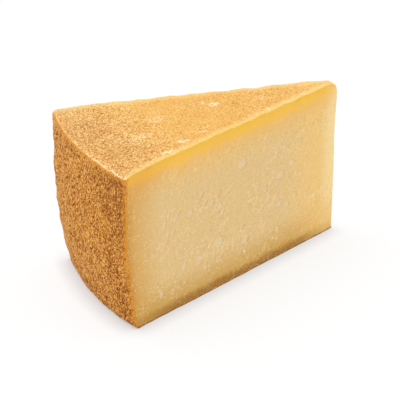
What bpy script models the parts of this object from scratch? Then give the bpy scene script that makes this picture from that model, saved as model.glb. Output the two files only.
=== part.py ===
"""A wedge of hard, aged cheese, cut from a round wheel and standing on its flat underside.

The wheel is turned from its half section, two knife cuts leave the wedge, and the tip is
softened. The surface is then diced into small cells, which carry the relief: the uneven,
grainy rind, the slightly wavy cuts and the rounded tip. Shallow eyes are sunk in both cuts.
The origin is under the middle of the wedge, the tip points to +X and the rind heel to -X.
"""

import math
import random

import bmesh
import bpy
from mathutils import Vector, noise
from mathutils.geometry import delaunay_2d_cdt

# Driving sizes of the wheel and of the wedge, in metres
WHEEL_RADIUS = 0.1706
WHEEL_HEIGHT = 0.1019
RIM_RADIUS = 0.0025
FOOT_RADIUS = 0.0030
HEEL_BELLY = 0.0008
HEEL_TUCK = 0.0066
TUCK_HEIGHT = 0.055
TUCK_POWER = 1.4
WEDGE_HALF_ANGLE = math.radians(15.4)
CUTS_PAST_CENTRE = 0.0034
TIP_ROUNDING = 0.0060

# How finely the surface is divided
TURN_STEPS = 296
ARC_STEPS = 3
SIDE_STEPS = 14
TIP_STEPS = 4
CELL = 0.0040
ON_PLANE = 0.0004
SAME_FACE = 0.0001
MERGE = 0.00001

# Cosines of the angle to a surface's normal: a face of the flat surface, and one after relief
FLAT = 0.9999
NEARLY_FLAT = 0.99

# Relief of the rind and of the cuts: depth, and the size of the swells and of the grain
RIM_FALL = 0.0012
RIM_FALL_WIDTH = 0.022
TIP_FALL = 0.0032
TIP_FALL_WIDTH = 0.006
SWELL_SIZE = 0.040
RIND_SWELL = 0.0006
CUT_SWELL = 0.0006
GRAIN_SIZE = 0.0085
RIND_GRAIN = 0.0009
CUT_GRAIN = 0.0003

# Where in the random field each surface's relief is read
TOP_DRAW = 2.0
HEEL_DRAW = 31.0
CUT_DRAWS = (53.0, 64.0)
TIP_DRAW = 85.0
GRAIN_DRAW = 7.0

# The front cut's eyes: distance from where the cuts would meet, height, length and width
FRONT_EYES = (
    (0.0827, 0.0750, 0.0070, 0.0056),
    (0.1017, 0.0538, 0.0062, 0.0052),
    (0.1015, 0.0304, 0.0068, 0.0060),
    (0.0802, 0.0234, 0.0066, 0.0046),
    (0.0509, 0.0559, 0.0056, 0.0050),
    (0.0517, 0.0366, 0.0050, 0.0044),
    (0.1159, 0.0681, 0.0058, 0.0032),
    (0.0634, 0.0507, 0.0042, 0.0024),
    (0.1246, 0.0588, 0.0046, 0.0040),
    (0.1296, 0.0256, 0.0058, 0.0032),
    (0.1171, 0.0250, 0.0056, 0.0044),
    (0.1477, 0.0150, 0.0042, 0.0028),
)

# The back cut's eyes are scattered
BACK_EYE_COUNT = 12
EYE_REACH = (0.026, 0.152)
EYE_HEIGHTS = (0.014, 0.084)
EYE_GAP = 0.0115
EYE_LENGTHS = (0.0042, 0.0070)
EYE_SLIMNESS = (0.60, 0.90)
SEED = 30

# Every eye: how it leans, its depth and its floor as shares of its size, and the room round it
EYE_LEAN = math.radians(70)
EYE_LEAN_SPREAD = math.radians(25)
EYE_DEPTH_SHARE = 0.06
EYE_FLOOR_SHARE = 0.70
EYE_POINTS = 10
EYE_MARGIN = 0.0007
INSIDE_ONLY = 1

PASTE_COLOUR = (0.76, 0.52, 0.23, 1.0)
PASTE_ROUGHNESS = 0.5

# The tip's rounding: where it starts on the cuts, and how far it takes the tip back
TIP_START = CUTS_PAST_CENTRE - TIP_ROUNDING * math.cos(WEDGE_HALF_ANGLE)
TIP_PLACE = CUTS_PAST_CENTRE - (2.0 - math.sqrt(2.0)) * (CUTS_PAST_CENTRE - TIP_START)

# The middle of the wedge's length, measured from the wheel's axis
LENGTH_MIDDLE = (TIP_PLACE - WHEEL_RADIUS) / 2

CUT_NORMALS = tuple(
    Vector((math.sin(WEDGE_HALF_ANGLE), side * math.cos(WEDGE_HALF_ANGLE), 0.0)) for side in (-1, 1)
)
CUT_POINT = Vector((CUTS_PAST_CENTRE, 0.0, 0.0))


def clear_scene():
    """Removes what the open file holds."""
    for ob in list(bpy.data.objects):
        bpy.data.objects.remove(ob, do_unlink=True)


def make_collection(name):
    """A new collection linked to the scene."""
    collection = bpy.data.collections.new(name)
    bpy.context.scene.collection.children.link(collection)
    return collection


def arc(centre_x, centre_z, radius, start, end):
    """Points of an arc in the section's plane, with both ends."""
    angles = [start + (end - start) * i / ARC_STEPS for i in range(ARC_STEPS + 1)]
    return [(centre_x + radius * math.cos(a), centre_z + radius * math.sin(a)) for a in angles]


def heel_radius(z):
    """The wheel's radius at height z: a slight belly, drawn in towards the foot."""
    belly = HEEL_BELLY * math.sin(math.pi * z / WHEEL_HEIGHT)
    share = max(0.0, (TUCK_HEIGHT - z) / TUCK_HEIGHT)
    return WHEEL_RADIUS + belly - HEEL_TUCK * share**TUCK_POWER


def wheel_section():
    """The half section of the whole wheel, from the top's centre down its outer side."""
    below_rim = WHEEL_HEIGHT - RIM_RADIUS
    rim = heel_radius(below_rim)
    foot = heel_radius(FOOT_RADIUS)
    points = [(0.0, WHEEL_HEIGHT)]
    points += arc(rim - RIM_RADIUS, below_rim, RIM_RADIUS, math.pi / 2, 0.0)
    for i in range(1, SIDE_STEPS):
        z = below_rim + (FOOT_RADIUS - below_rim) * i / SIDE_STEPS
        points.append((heel_radius(z), z))
    points += arc(foot - FOOT_RADIUS, FOOT_RADIUS, FOOT_RADIUS, 0.0, -math.pi / 2)
    points.append((0.0, 0.0))
    return points


def turned_wheel(collection):
    """The wheel as a mesh: its half section turned once round the vertical axis."""
    mesh = bpy.data.meshes.new("wheel_section")
    section = [(x, 0.0, z) for x, z in wheel_section()]
    mesh.from_pydata(section, [(i, i + 1) for i in range(len(section) - 1)], [])
    ob = bpy.data.objects.new("wheel_section", mesh)
    collection.objects.link(ob)
    turn = ob.modifiers.new("turn", "SCREW")
    turn.steps = TURN_STEPS
    turn.render_steps = TURN_STEPS
    turn.use_merge_vertices = True
    turn.merge_threshold = MERGE
    evaluated = ob.evaluated_get(bpy.context.evaluated_depsgraph_get())
    wheel = bpy.data.meshes.new_from_object(evaluated)
    bpy.data.objects.remove(ob, do_unlink=True)
    bpy.data.meshes.remove(mesh)
    return wheel


def everything(bm):
    """All vertices, edges and faces, as the cutting operators take them."""
    return bm.verts[:] + bm.edges[:] + bm.faces[:]


def knife_cut(bm, normal):
    """One straight cut: what lies on the normal's side goes, and the cut is closed."""
    cut = bmesh.ops.bisect_plane(
        bm, geom=everything(bm), dist=SAME_FACE, plane_co=CUT_POINT, plane_no=normal, clear_outer=True
    )
    edges = [e for e in cut["geom_cut"] if isinstance(e, bmesh.types.BMEdge)]
    bmesh.ops.edgenet_fill(bm, edges=edges)


def merge_flat_faces(bm):
    """The flat top and underside each become one face."""
    for direction in (1, -1):
        flat = [f for f in bm.faces if f.normal.z * direction > FLAT]
        bmesh.ops.dissolve_faces(bm, faces=flat, use_verts=True)


def round_the_tip(bm):
    """Rounds the upright edge where the two cuts meet."""
    tip = [
        e
        for e in bm.edges
        if all((v.co - CUT_POINT).to_2d().length < SAME_FACE for v in e.verts)
    ]
    bmesh.ops.bevel(
        bm,
        geom=tip,
        offset=TIP_ROUNDING,
        offset_type="OFFSET",
        segments=TIP_STEPS,
        profile=0.5,
        affect="EDGES",
    )


def on_cut(point, normal):
    """Whether a point lies on the cut with this normal."""
    return abs((point - CUT_POINT).dot(normal)) < SAME_FACE


def is_top(face):
    """Whether a face belongs to the flat top."""
    return face.normal.z > FLAT


def is_top_or_cut(face):
    """Whether a face belongs to the flat top or to one of the two cuts."""
    return is_top(face) or any(face.normal.dot(n) > FLAT for n in CUT_NORMALS)


def is_upright(face):
    """Whether a face is neither the top nor the underside."""
    return abs(face.normal.z) < FLAT


def dice(bm, axis, start, end, wanted):
    """Divides the wanted faces by planes one cell apart along an axis."""
    count = round((end - start) / CELL)
    for i in range(1, count):
        place = axis * (start + (end - start) * i / count)
        faces = [f for f in bm.faces if wanted(f)]
        edges = {e for f in faces for e in f.edges}
        verts = {v for f in faces for v in f.verts}
        bmesh.ops.bisect_plane(
            bm, geom=[*verts, *edges, *faces], dist=ON_PLANE, plane_co=place, plane_no=axis
        )


def ripple(point, size, draw):
    """A smooth random height between about -1 and 1, with swells of the given size."""
    return noise.noise(point / size + Vector((draw, 0.0, 0.0)), noise_basis="PERLIN_ORIGINAL")


def rind_relief(point, draw):
    """How far the rind stands out: slow swells, and grain of knobs and pits."""
    swell = RIND_SWELL * ripple(point, SWELL_SIZE, draw)
    grain = RIND_GRAIN * ripple(point, GRAIN_SIZE, draw + GRAIN_DRAW)
    return swell + grain


def cut_relief(point, draw):
    """How far a cut stands out: the knife's wander and a little grain."""
    swell = CUT_SWELL * ripple(point, SWELL_SIZE, draw)
    grain = CUT_GRAIN * ripple(point, GRAIN_SIZE, draw + GRAIN_DRAW)
    return swell + grain


def top_fall(point):
    """How far the top drops towards the rim and at the very tip."""
    rim = (point.to_2d().length - (WHEEL_RADIUS - RIM_FALL_WIDTH)) / RIM_FALL_WIDTH
    tip = 1.0 - (point - CUT_POINT).to_2d().length / (TIP_FALL_WIDTH + TIP_ROUNDING)
    return RIM_FALL * max(0.0, rim) ** 2 + TIP_FALL * max(0.0, tip) ** 2


def add_relief(bm):
    """Moves each vertex by the relief of every surface that it lies on; the foot stays level."""
    heel_inside = WHEEL_RADIUS - HEEL_TUCK - FOOT_RADIUS - RIM_RADIUS
    for vert in bm.verts:
        place = vert.co.copy()
        near_top = max(0.0, 1.0 - (WHEEL_HEIGHT - place.z) / RIM_RADIUS)
        vert.co.z += near_top * (rind_relief(place, TOP_DRAW) - top_fall(place))
        radial = Vector((place.x, place.y, 0.0))
        if radial.length > heel_inside:
            above_foot = min(1.0, place.z / FOOT_RADIUS)
            upright = above_foot * (1.0 - near_top)
            vert.co += radial.normalized() * upright * rind_relief(place, HEEL_DRAW)
        cuts_here = [(n, draw) for n, draw in zip(CUT_NORMALS, CUT_DRAWS) if on_cut(place, n)]
        for normal, draw in cuts_here:
            vert.co += normal * cut_relief(place, draw)
        if place.x > TIP_START and not cuts_here:
            vert.co.x += cut_relief(place, TIP_DRAW)


def back_eyes():
    """The eyes of the back cut, at random over its middle and apart from each other."""
    rng = random.Random(SEED)
    eyes = []
    while len(eyes) < BACK_EYE_COUNT:
        along, height = rng.uniform(*EYE_REACH), rng.uniform(*EYE_HEIGHTS)
        if any(math.hypot(along - eye[0], height - eye[1]) < EYE_GAP for eye in eyes):
            continue
        length = rng.uniform(*EYE_LENGTHS)
        width = length * rng.uniform(*EYE_SLIMNESS)
        lean = EYE_LEAN + rng.uniform(-1.0, 1.0) * EYE_LEAN_SPREAD
        eyes.append((along, height, length, width, lean))
    return eyes


def distance_to_cell(face, centre, away):
    """How far the middle of an eye lies from a cell of its cut."""
    alongs = [(v.co - centre).dot(away) for v in face.verts]
    heights = [v.co.z - centre.z for v in face.verts]
    sideways = max(min(alongs), 0.0, -max(alongs))
    upright = max(min(heights), 0.0, -max(heights))
    return math.hypot(sideways, upright)


def eye_ring(bm, oval, normal, draw, share, depth):
    """Points round an eye, at a share of its size and a depth below the cut's relief."""
    centre, long_way, short_way = oval
    ring = []
    for i in range(EYE_POINTS):
        turn = 2.0 * math.pi * i / EYE_POINTS
        place = centre + share * (long_way * math.cos(turn) + short_way * math.sin(turn))
        ring.append(bm.verts.new(place + normal * (cut_relief(place, draw) - depth)))
    return ring


def refill(bm, border_edges, ring, away):
    """Fills a cut between the border of a gap and the ring inside it with even triangles."""
    border = list(dict.fromkeys(v for e in border_edges for v in e.verts))
    verts = border + ring
    number = {v: i for i, v in enumerate(verts)}
    edges = [(number[e.verts[0]], number[e.verts[1]]) for e in border_edges]
    edges += [(number[ring[i - 1]], number[ring[i]]) for i in range(len(ring))]
    flat = [Vector((v.co.dot(away), v.co.z)) for v in verts]
    triangles, sources = delaunay_2d_cdt(flat, edges, [], INSIDE_ONLY, MERGE)[2:4]
    for triangle in triangles:
        corners = [verts[sources[i][0]] for i in triangle]
        if any(v in border for v in corners):
            bm.faces.new(corners)


def sink_eye(bm, normal, draw, eye):
    """One eye: its cells are refilled round a leaning oval, whose floor is sunk a little."""
    along, height, length, width, lean = eye
    up = Vector((0.0, 0.0, 1.0))
    away = up.cross(normal)
    if away.x > 0.0:
        away.negate()
    centre = CUT_POINT + away * along + up * height
    long_way = (up * math.sin(lean) - away * math.cos(lean)) * length / 2
    short_way = (up * math.cos(lean) + away * math.sin(lean)) * width / 2
    reach = length / 2 + EYE_MARGIN
    on_this_cut = [f for f in bm.faces if f.normal.dot(normal) > NEARLY_FLAT]
    cells = [f for f in on_this_cut if distance_to_cell(f, centre, away) < reach]
    border = [e for f in cells for e in f.edges if any(g not in cells for g in e.link_faces)]
    bmesh.ops.delete(bm, geom=cells, context="FACES")
    oval = (centre, long_way, short_way)
    rim = eye_ring(bm, oval, normal, draw, 1.0, 0.0)
    floor = eye_ring(bm, oval, normal, draw, EYE_FLOOR_SHARE, length * EYE_DEPTH_SHARE)
    for i in range(EYE_POINTS):
        j = (i + 1) % EYE_POINTS
        bm.faces.new((rim[i], rim[j], floor[j], floor[i]))
    bm.faces.new(floor)
    refill(bm, border, rim, away)
    bmesh.ops.recalc_face_normals(bm, faces=bm.faces[:])


def sink_eyes(bm):
    """Shallow eyes in both cuts."""
    front = [(*eye, EYE_LEAN) for eye in FRONT_EYES]
    for eyes, normal, draw in zip((front, back_eyes()), CUT_NORMALS, CUT_DRAWS):
        for eye in eyes:
            sink_eye(bm, normal, draw, eye)


def wedge_mesh(collection):
    """The wedge: turned, cut, diced, roughened and given its eyes."""
    wheel = turned_wheel(collection)
    bm = bmesh.new()
    bm.from_mesh(wheel)
    bpy.data.meshes.remove(wheel)
    bmesh.ops.recalc_face_normals(bm, faces=bm.faces[:])
    for normal in CUT_NORMALS:
        knife_cut(bm, normal)
    bm.normal_update()
    merge_flat_faces(bm)
    round_the_tip(bm)
    bm.normal_update()
    across = WHEEL_RADIUS * math.sin(WEDGE_HALF_ANGLE)
    dice(bm, Vector((1, 0, 0)), -WHEEL_RADIUS, CUTS_PAST_CENTRE, is_top_or_cut)
    dice(bm, Vector((0, 1, 0)), -across, across, is_top)
    dice(bm, Vector((0, 0, 1)), 0.0, WHEEL_HEIGHT, is_upright)
    add_relief(bm)
    bm.normal_update()
    sink_eyes(bm)
    bmesh.ops.triangulate(bm, faces=bm.faces[:])
    bmesh.ops.translate(bm, verts=bm.verts[:], vec=(-LENGTH_MIDDLE, 0.0, 0.0))
    bmesh.ops.recalc_face_normals(bm, faces=bm.faces[:])
    mesh = bpy.data.meshes.new("cheese_wedge")
    bm.to_mesh(mesh)
    bm.free()
    return mesh


def paste_material():
    """The pale golden paste and its rind."""
    material = bpy.data.materials.new("aged_cheese")
    material.use_nodes = True
    shader = material.node_tree.nodes["Principled BSDF"]
    shader.inputs["Base Color"].default_value = PASTE_COLOUR
    shader.inputs["Roughness"].default_value = PASTE_ROUGHNESS
    shader.inputs["Metallic"].default_value = 0.0
    return material


def main():
    """Builds the wedge."""
    clear_scene()
    parts = make_collection("Aged cheese wedge")
    wedge = bpy.data.objects.new("cheese_wedge", wedge_mesh(parts))
    wedge.data.materials.append(paste_material())
    parts.objects.link(wedge)


main()
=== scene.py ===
"""A wedge of hard, aged cheese on a pale floor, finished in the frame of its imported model.

Two pieces stand for the model's one solid: the paste, with its two knife cuts and its
eyes, and the thin rind that wraps the top, the round heel and the underside. Both follow the
solid's own clean form, a sector of a turned wheel, whose points are moved by the relief of the
surfaces that they lie on. Lengths are in metres, and places are measured from the wheel's axis
until a piece is placed in the frame.
"""

import logging
import math
import random
from dataclasses import dataclass, field
from enum import Enum
from typing import Callable, Dict, Iterable, List, NamedTuple, Sequence, Tuple, Union

import bmesh
import bpy
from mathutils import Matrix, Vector, noise
from mathutils.geometry import delaunay_2d_cdt

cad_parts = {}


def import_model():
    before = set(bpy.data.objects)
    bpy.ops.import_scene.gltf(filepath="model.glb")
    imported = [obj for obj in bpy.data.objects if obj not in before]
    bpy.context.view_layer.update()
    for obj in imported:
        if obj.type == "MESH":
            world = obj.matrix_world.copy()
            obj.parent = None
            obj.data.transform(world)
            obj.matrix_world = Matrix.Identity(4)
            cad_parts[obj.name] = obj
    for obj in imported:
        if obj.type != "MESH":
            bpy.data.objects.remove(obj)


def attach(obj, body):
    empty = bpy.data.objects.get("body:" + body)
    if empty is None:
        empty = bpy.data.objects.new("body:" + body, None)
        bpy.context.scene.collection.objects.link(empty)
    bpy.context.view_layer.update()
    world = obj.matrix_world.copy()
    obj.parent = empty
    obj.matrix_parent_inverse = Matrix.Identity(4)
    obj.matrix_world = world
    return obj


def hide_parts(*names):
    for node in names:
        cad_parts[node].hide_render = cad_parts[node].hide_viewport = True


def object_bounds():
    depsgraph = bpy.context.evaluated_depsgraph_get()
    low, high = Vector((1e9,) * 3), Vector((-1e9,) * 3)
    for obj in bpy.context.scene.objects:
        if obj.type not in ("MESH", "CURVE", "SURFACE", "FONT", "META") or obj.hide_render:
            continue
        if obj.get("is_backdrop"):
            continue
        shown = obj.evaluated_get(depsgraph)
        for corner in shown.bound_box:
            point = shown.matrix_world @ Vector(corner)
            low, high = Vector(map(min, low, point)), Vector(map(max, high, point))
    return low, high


LOG = logging.getLogger("cheese_wedge")
NODE = "cheese_wedge"
BODY = "root"

Flat = Tuple[float, float]
Triple = Tuple[float, float, float]
Colour = Tuple[float, float, float, float]
Stops = Tuple[Tuple[float, Colour], ...]
Socket = bpy.types.NodeSocket
Feed = Union[Socket, float, Triple, Colour]
Key = Union[int, str]

UP = Vector((0.0, 0.0, 1.0))
TOWARDS_TIP = Vector((1.0, 0.0, 0.0))
STILL = Vector((0.0, 0.0, 0.0))
EVEN: Triple = (1.0, 1.0, 1.0)
WHITE: Colour = (1.0, 1.0, 1.0, 1.0)
SAME_POINT = 0.000002
FILL_TOLERANCE = 1e-9
FILL_INSIDE_ONLY = 1


def srgb(red: int, green: int, blue: int) -> Colour:
    """A linear colour from the values that a picture shows.

    Args:
        red: Red, 0 to 255.
        green: Green, 0 to 255.
        blue: Blue, 0 to 255.

    Returns:
        The colour as a shader socket takes it.
    """
    parts = []
    for value in (red, green, blue):
        share = value / 255.0
        parts.append(share / 12.92 if share <= 0.04045 else ((share + 0.055) / 1.055) ** 2.4)
    return (parts[0], parts[1], parts[2], 1.0)


def smooth_step(low: float, high: float, value: float) -> float:
    """A soft rise from 0 at low to 1 at high."""
    share = min(1.0, max(0.0, (value - low) / (high - low)))
    return share * share * (3.0 - 2.0 * share)


def polar(radius: float, angle: float, height: float) -> Vector:
    """A place by its distance from the wheel's axis and its turn from the heel's middle."""
    return Vector((-radius * math.cos(angle), radius * math.sin(angle), height))


def ripple(place: Vector, size: float, draw: float) -> float:
    """A smooth random height between about -1 and 1, in swells of a size."""
    return noise.noise(place / size + Vector((draw, 0.0, 0.0)), noise_basis="PERLIN_ORIGINAL")


class Cut(Enum):
    """The two knife cuts, by the side of the wedge that they are on."""

    FRONT = -1
    BACK = 1


class Mark(Enum):
    """What the meshes tell their materials about a point."""

    GRAIN = "grain"
    UPRIGHT = "upright"
    # The share of the painted highlight along the rounded rim
    RIM = "rim"
    SECTION = "section"
    SCRAPE = "scrape"
    STAIN = "stain"
    EYE = "eye"
    FROM_HEEL = "from_heel"
    FROM_CUT = "from_cut"


class SkinPoint(NamedTuple):
    """A finished point of a surface, with what its material reads there."""

    place: Vector
    marks: Dict[Mark, float]


class SectionPoint(NamedTuple):
    """A point of the wheel's half section with the direction that faces out of it."""

    radius: float
    height: float
    out_radius: float
    out_height: float


class OutlinePoint(NamedTuple):
    """A point of a cut's outline: its place on the cut and the direction that faces out."""

    along: float
    height: float
    out_along: float
    out_height: float


@dataclass(frozen=True)
class WedgeForm:
    """The clean form of the wedge: a wheel turned from its section, and two straight cuts."""

    radius: float = 0.1706
    height: float = 0.1019
    rim_radius: float = 0.0025
    foot_radius: float = 0.0030
    belly: float = 0.0008
    tuck: float = 0.0066
    tuck_height: float = 0.055
    tuck_power: float = 1.4
    half_angle: float = math.radians(15.4)
    past_centre: float = 0.0034
    tip_rounding: float = 0.0060
    corner_rounding: Flat = (0.0055, 0.0080)
    corner_fall: float = 0.0009

    @property
    def meeting(self) -> Vector:
        """The foot of the upright line where the cuts would meet."""
        return Vector((self.past_centre, 0.0, 0.0))

    @property
    def nose(self) -> float:
        """How far past the wheel's axis the rounded tip reaches."""
        back = (2.0 - math.sqrt(2.0)) * self.tip_rounding * math.cos(self.half_angle)
        return self.past_centre - back

    @property
    def length_middle(self) -> float:
        """The middle of the wedge's length, measured from the wheel's axis."""
        return (self.nose - self.radius) / 2

    def round_corner(self, place: Vector) -> Vector:
        """Rounds the corner where the tip's upright line meets the top.

        Args:
            place: A finished point.

        Returns:
            The point, drawn inwards where it lies in the corner.
        """
        reach, drop = self.corner_rounding
        out = 1.0 - (self.nose - place.x) / reach
        top = self.height - self.corner_fall
        high = 1.0 - (top - place.z) / drop
        if out <= 0.0 or high <= 0.0:
            return place
        share = max(out, high) / math.hypot(out, high)
        x = self.nose - reach * (1.0 - out * share)
        return Vector((x, place.y, top - drop * (1.0 - high * share)))

    def from_cut(self, place: Vector) -> float:
        """How far inside the nearer cut a place lies."""
        return min(-(place - self.meeting).dot(self.normal(cut)) for cut in Cut)

    def way(self, cut: Cut) -> Vector:
        """The level direction along a cut, from the tip to the heel."""
        return Vector((-math.cos(self.half_angle), cut.value * math.sin(self.half_angle), 0.0))

    def normal(self, cut: Cut) -> Vector:
        """The direction that a cut faces."""
        return Vector((math.sin(self.half_angle), cut.value * math.cos(self.half_angle), 0.0))

    def heel_radius(self, height: float) -> float:
        """The wheel's radius: a slight belly, drawn in towards the foot.

        Args:
            height: The height above the underside.

        Returns:
            The radius there.
        """
        belly = self.belly * math.sin(math.pi * height / self.height)
        share = max(0.0, (self.tuck_height - height) / self.tuck_height)
        return self.radius + belly - self.tuck * share**self.tuck_power

    def along_at(self, radius: float) -> float:
        """How far along a cut the wheel's radius is reached.

        Args:
            radius: The distance from the wheel's axis.

        Returns:
            The distance from the line where the cuts would meet.
        """
        inward = self.past_centre * math.cos(self.half_angle)
        aside = self.past_centre * math.sin(self.half_angle)
        return inward + math.sqrt(radius**2 - aside**2)

    def on_cut(self, cut: Cut, along: float, height: float) -> Vector:
        """A point of a cut, by the distance from where the cuts would meet and the height."""
        return self.meeting + self.way(cut) * along + UP * height

    def on_heel(self, share: float, radius: float, height: float) -> Vector:
        """A point of the turned surface: its share goes from -1 at the front cut to 1."""
        edge = self.on_cut(Cut.BACK, self.along_at(radius), height)
        return polar(radius, share * math.atan2(edge.y, -edge.x), height)

    def on_tip(self, share: float, height: float) -> Vector:
        """A point of the rounded tip.

        Args:
            share: From 0 at the front cut to 1 at the back cut.
            height: The height above the underside.

        Returns:
            The place, measured from the wheel's axis.
        """
        turn = share * math.pi / 2
        front = self.way(Cut.FRONT) * self.tip_rounding * (1.0 - math.sin(turn))
        back = self.way(Cut.BACK) * self.tip_rounding * (1.0 - math.cos(turn))
        return self.meeting + front + back + UP * height

    def section(self, step: float) -> List[SectionPoint]:
        """The half section's rim, heel and foot, from the level top down to the underside.

        Args:
            step: The spacing of its points.

        Returns:
            The points with their outward directions.
        """
        below_rim = self.height - self.rim_radius
        rim = self.heel_radius(below_rim)
        foot = self.heel_radius(self.foot_radius)
        quarter = math.pi / 2
        points = []
        rim_steps = math.ceil(quarter * self.rim_radius / step)
        centre = (rim - self.rim_radius, below_rim)
        for i in range(rim_steps):
            turn = quarter * i / rim_steps
            out = (math.sin(turn), math.cos(turn))
            points.append(self._arc_point(centre, self.rim_radius, out))
        side_steps = round((below_rim - self.foot_radius) / step)
        for i in range(side_steps):
            height = below_rim + (self.foot_radius - below_rim) * i / side_steps
            slope = (self.heel_radius(height + step) - self.heel_radius(height - step)) / (2 * step)
            size = math.hypot(1.0, slope)
            points.append(SectionPoint(self.heel_radius(height), height, 1.0 / size, -slope / size))
        foot_steps = math.ceil(quarter * self.foot_radius / step)
        centre = (foot - self.foot_radius, self.foot_radius)
        for i in range(foot_steps + 1):
            turn = quarter * i / foot_steps
            out = (math.cos(turn), -math.sin(turn))
            points.append(self._arc_point(centre, self.foot_radius, out))
        return points

    @staticmethod
    def _arc_point(centre: Flat, radius: float, out: Flat) -> SectionPoint:
        """The point of a section's arc that faces a direction."""
        return SectionPoint(centre[0] + radius * out[0], centre[1] + radius * out[1], *out)

    def outline(self, section: Sequence[SectionPoint], step: float) -> List[OutlinePoint]:
        """A cut's outline, from the tip along the top, down the heel and back along the foot.

        Args:
            section: The points of the wheel's section, which the heel's part follows.
            step: The spacing of the other points.

        Returns:
            The points with their outward directions.
        """
        start = self.tip_rounding
        top_end = self.along_at(section[0].radius)
        foot_end = self.along_at(section[-1].radius)
        top_steps = round((top_end - start) / step)
        foot_steps = round((foot_end - start) / step)
        top = [start + (top_end - start) * i / top_steps for i in range(top_steps)]
        foot = [foot_end + (start - foot_end) * i / foot_steps for i in range(1, foot_steps + 1)]
        points = [OutlinePoint(a, self.height, 0.0, 1.0) for a in top]
        points += [OutlinePoint(self.along_at(p.radius), *p[1:]) for p in section]
        points += [OutlinePoint(a, 0.0, 0.0, -1.0) for a in foot]
        return points


@dataclass(frozen=True)
class Relief:
    """The slow relief that the wedge's solid has too: swells, knobs, the knife's wander."""

    form: WedgeForm
    swell_size: float = 0.040
    rind_swell: float = 0.0006
    cut_swell: float = 0.0006
    grain_size: float = 0.0085
    rind_grain: float = 0.0009
    cut_grain: float = 0.0003
    rim_fall: float = 0.0012
    rim_fall_width: float = 0.022
    tip_fall: float = 0.0012
    tip_fall_width: float = 0.020
    tip_calm: float = 0.20
    tip_calm_reach: float = 0.060
    edge_blend: float = 0.010
    top_draw: float = 2.0
    heel_draw: float = 31.0
    front_draw: float = 53.0
    back_draw: float = 64.0
    tip_draw: float = 85.0
    grain_draw: float = 7.0

    def _rind(self, place: Vector, draw: float) -> float:
        """How far the rind stands out at a place: less towards the tip.

        Args:
            place: The point of the clean form.
            draw: Which part of the random field is read.

        Returns:
            The height of its swells and knobs.
        """
        swell = self.rind_swell * ripple(place, self.swell_size, draw)
        knob = self.rind_grain * ripple(place, self.grain_size, draw + self.grain_draw)
        away = smooth_step(0.0, self.tip_calm_reach, (place - self.form.meeting).to_2d().length)
        return (swell + knob) * (self.tip_calm + (1.0 - self.tip_calm) * away)

    def _cut(self, place: Vector, draw: float) -> float:
        """How far a cut stands out at a place."""
        swell = self.cut_swell * ripple(place, self.swell_size, draw)
        return swell + self.cut_grain * ripple(place, self.grain_size, draw + self.grain_draw)

    def _top_fall(self, place: Vector) -> float:
        """How far the top drops towards the rim and at the very tip.

        Args:
            place: The point of the clean form.

        Returns:
            The drop.
        """
        form = self.form
        rim = (place.to_2d().length - (form.radius - self.rim_fall_width)) / self.rim_fall_width
        reach = self.tip_fall_width + form.tip_rounding
        tip = 1.0 - (place - form.meeting).to_2d().length / reach
        return self.rim_fall * max(0.0, rim) ** 2 + self.tip_fall * max(0.0, tip) ** 2

    def rind_shift(self, place: Vector) -> Vector:
        """How the slow relief moves a point of the rind.

        Args:
            place: The point of the clean form.

        Returns:
            The move.
        """
        form = self.form
        near_top = max(0.0, 1.0 - (form.height - place.z) / form.rim_radius)
        shift = UP * near_top * (self._rind(place, self.top_draw) - self._top_fall(place))
        radial = Vector((place.x, place.y, 0.0))
        inside = form.radius - form.tuck - form.foot_radius - form.rim_radius
        if radial.length > inside and near_top < 1.0:
            above_foot = min(1.0, place.z / form.foot_radius)
            share = above_foot * (1.0 - near_top)
            shift += radial.normalized() * share * self._rind(place, self.heel_draw)
        return shift

    def cut_shift(self, place: Vector, cut: Cut) -> Vector:
        """How the knife's wander moves a point of a cut."""
        draw = self.front_draw if cut is Cut.FRONT else self.back_draw
        return self.form.normal(cut) * self._cut(place, draw)

    def heel_cut_shift(self, share: float, radius: float, height: float) -> Vector:
        """How the cuts' wander is taken up by the turned surface beside them.

        Args:
            share: From -1 at the front cut to 1 at the back cut.
            radius: The distance from the wheel's axis.
            height: The height above the underside.

        Returns:
            The move, which dies away with the distance from the cut.
        """
        cut = Cut.FRONT if share < 0 else Cut.BACK
        half_arc = radius * self.form.half_angle
        fade = 1.0 - smooth_step(0.0, 1.0, (1.0 - abs(share)) * half_arc / self.edge_blend)
        if fade == 0.0:
            return STILL
        edge = self.form.on_cut(cut, self.form.along_at(radius), height)
        return self.cut_shift(edge, cut) * fade

    def tip_shift(self, share: float, height: float) -> Vector:
        """How a point of the rounded tip moves.

        Args:
            share: From 0 at the front cut to 1 at the back cut.
            height: The height above the underside.

        Returns:
            The move.
        """
        place = self.form.on_tip(share, height)
        front = self.cut_shift(self.form.on_tip(0.0, height), Cut.FRONT) * (1.0 - share)
        back = self.cut_shift(self.form.on_tip(1.0, height), Cut.BACK) * share
        own = TOWARDS_TIP * math.sin(math.pi * share) * self._cut(place, self.tip_draw)
        return front + back + own


class Patch(NamedTuple):
    """A soft-edged patch of the rind, such as a scraped or a stained one."""

    centre: Triple
    size: Triple
    strength: float
    core: float = 0.35
    edge: float = 1.15

    def at(self, place: Vector) -> float:
        """How strong the patch is at a place: 0 outside, its strength in its core."""
        away = [2.0 * (p - c) / s for p, c, s in zip(place, self.centre, self.size)]
        return self.strength * (1.0 - smooth_step(self.core, self.edge, math.hypot(*away)))


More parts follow.
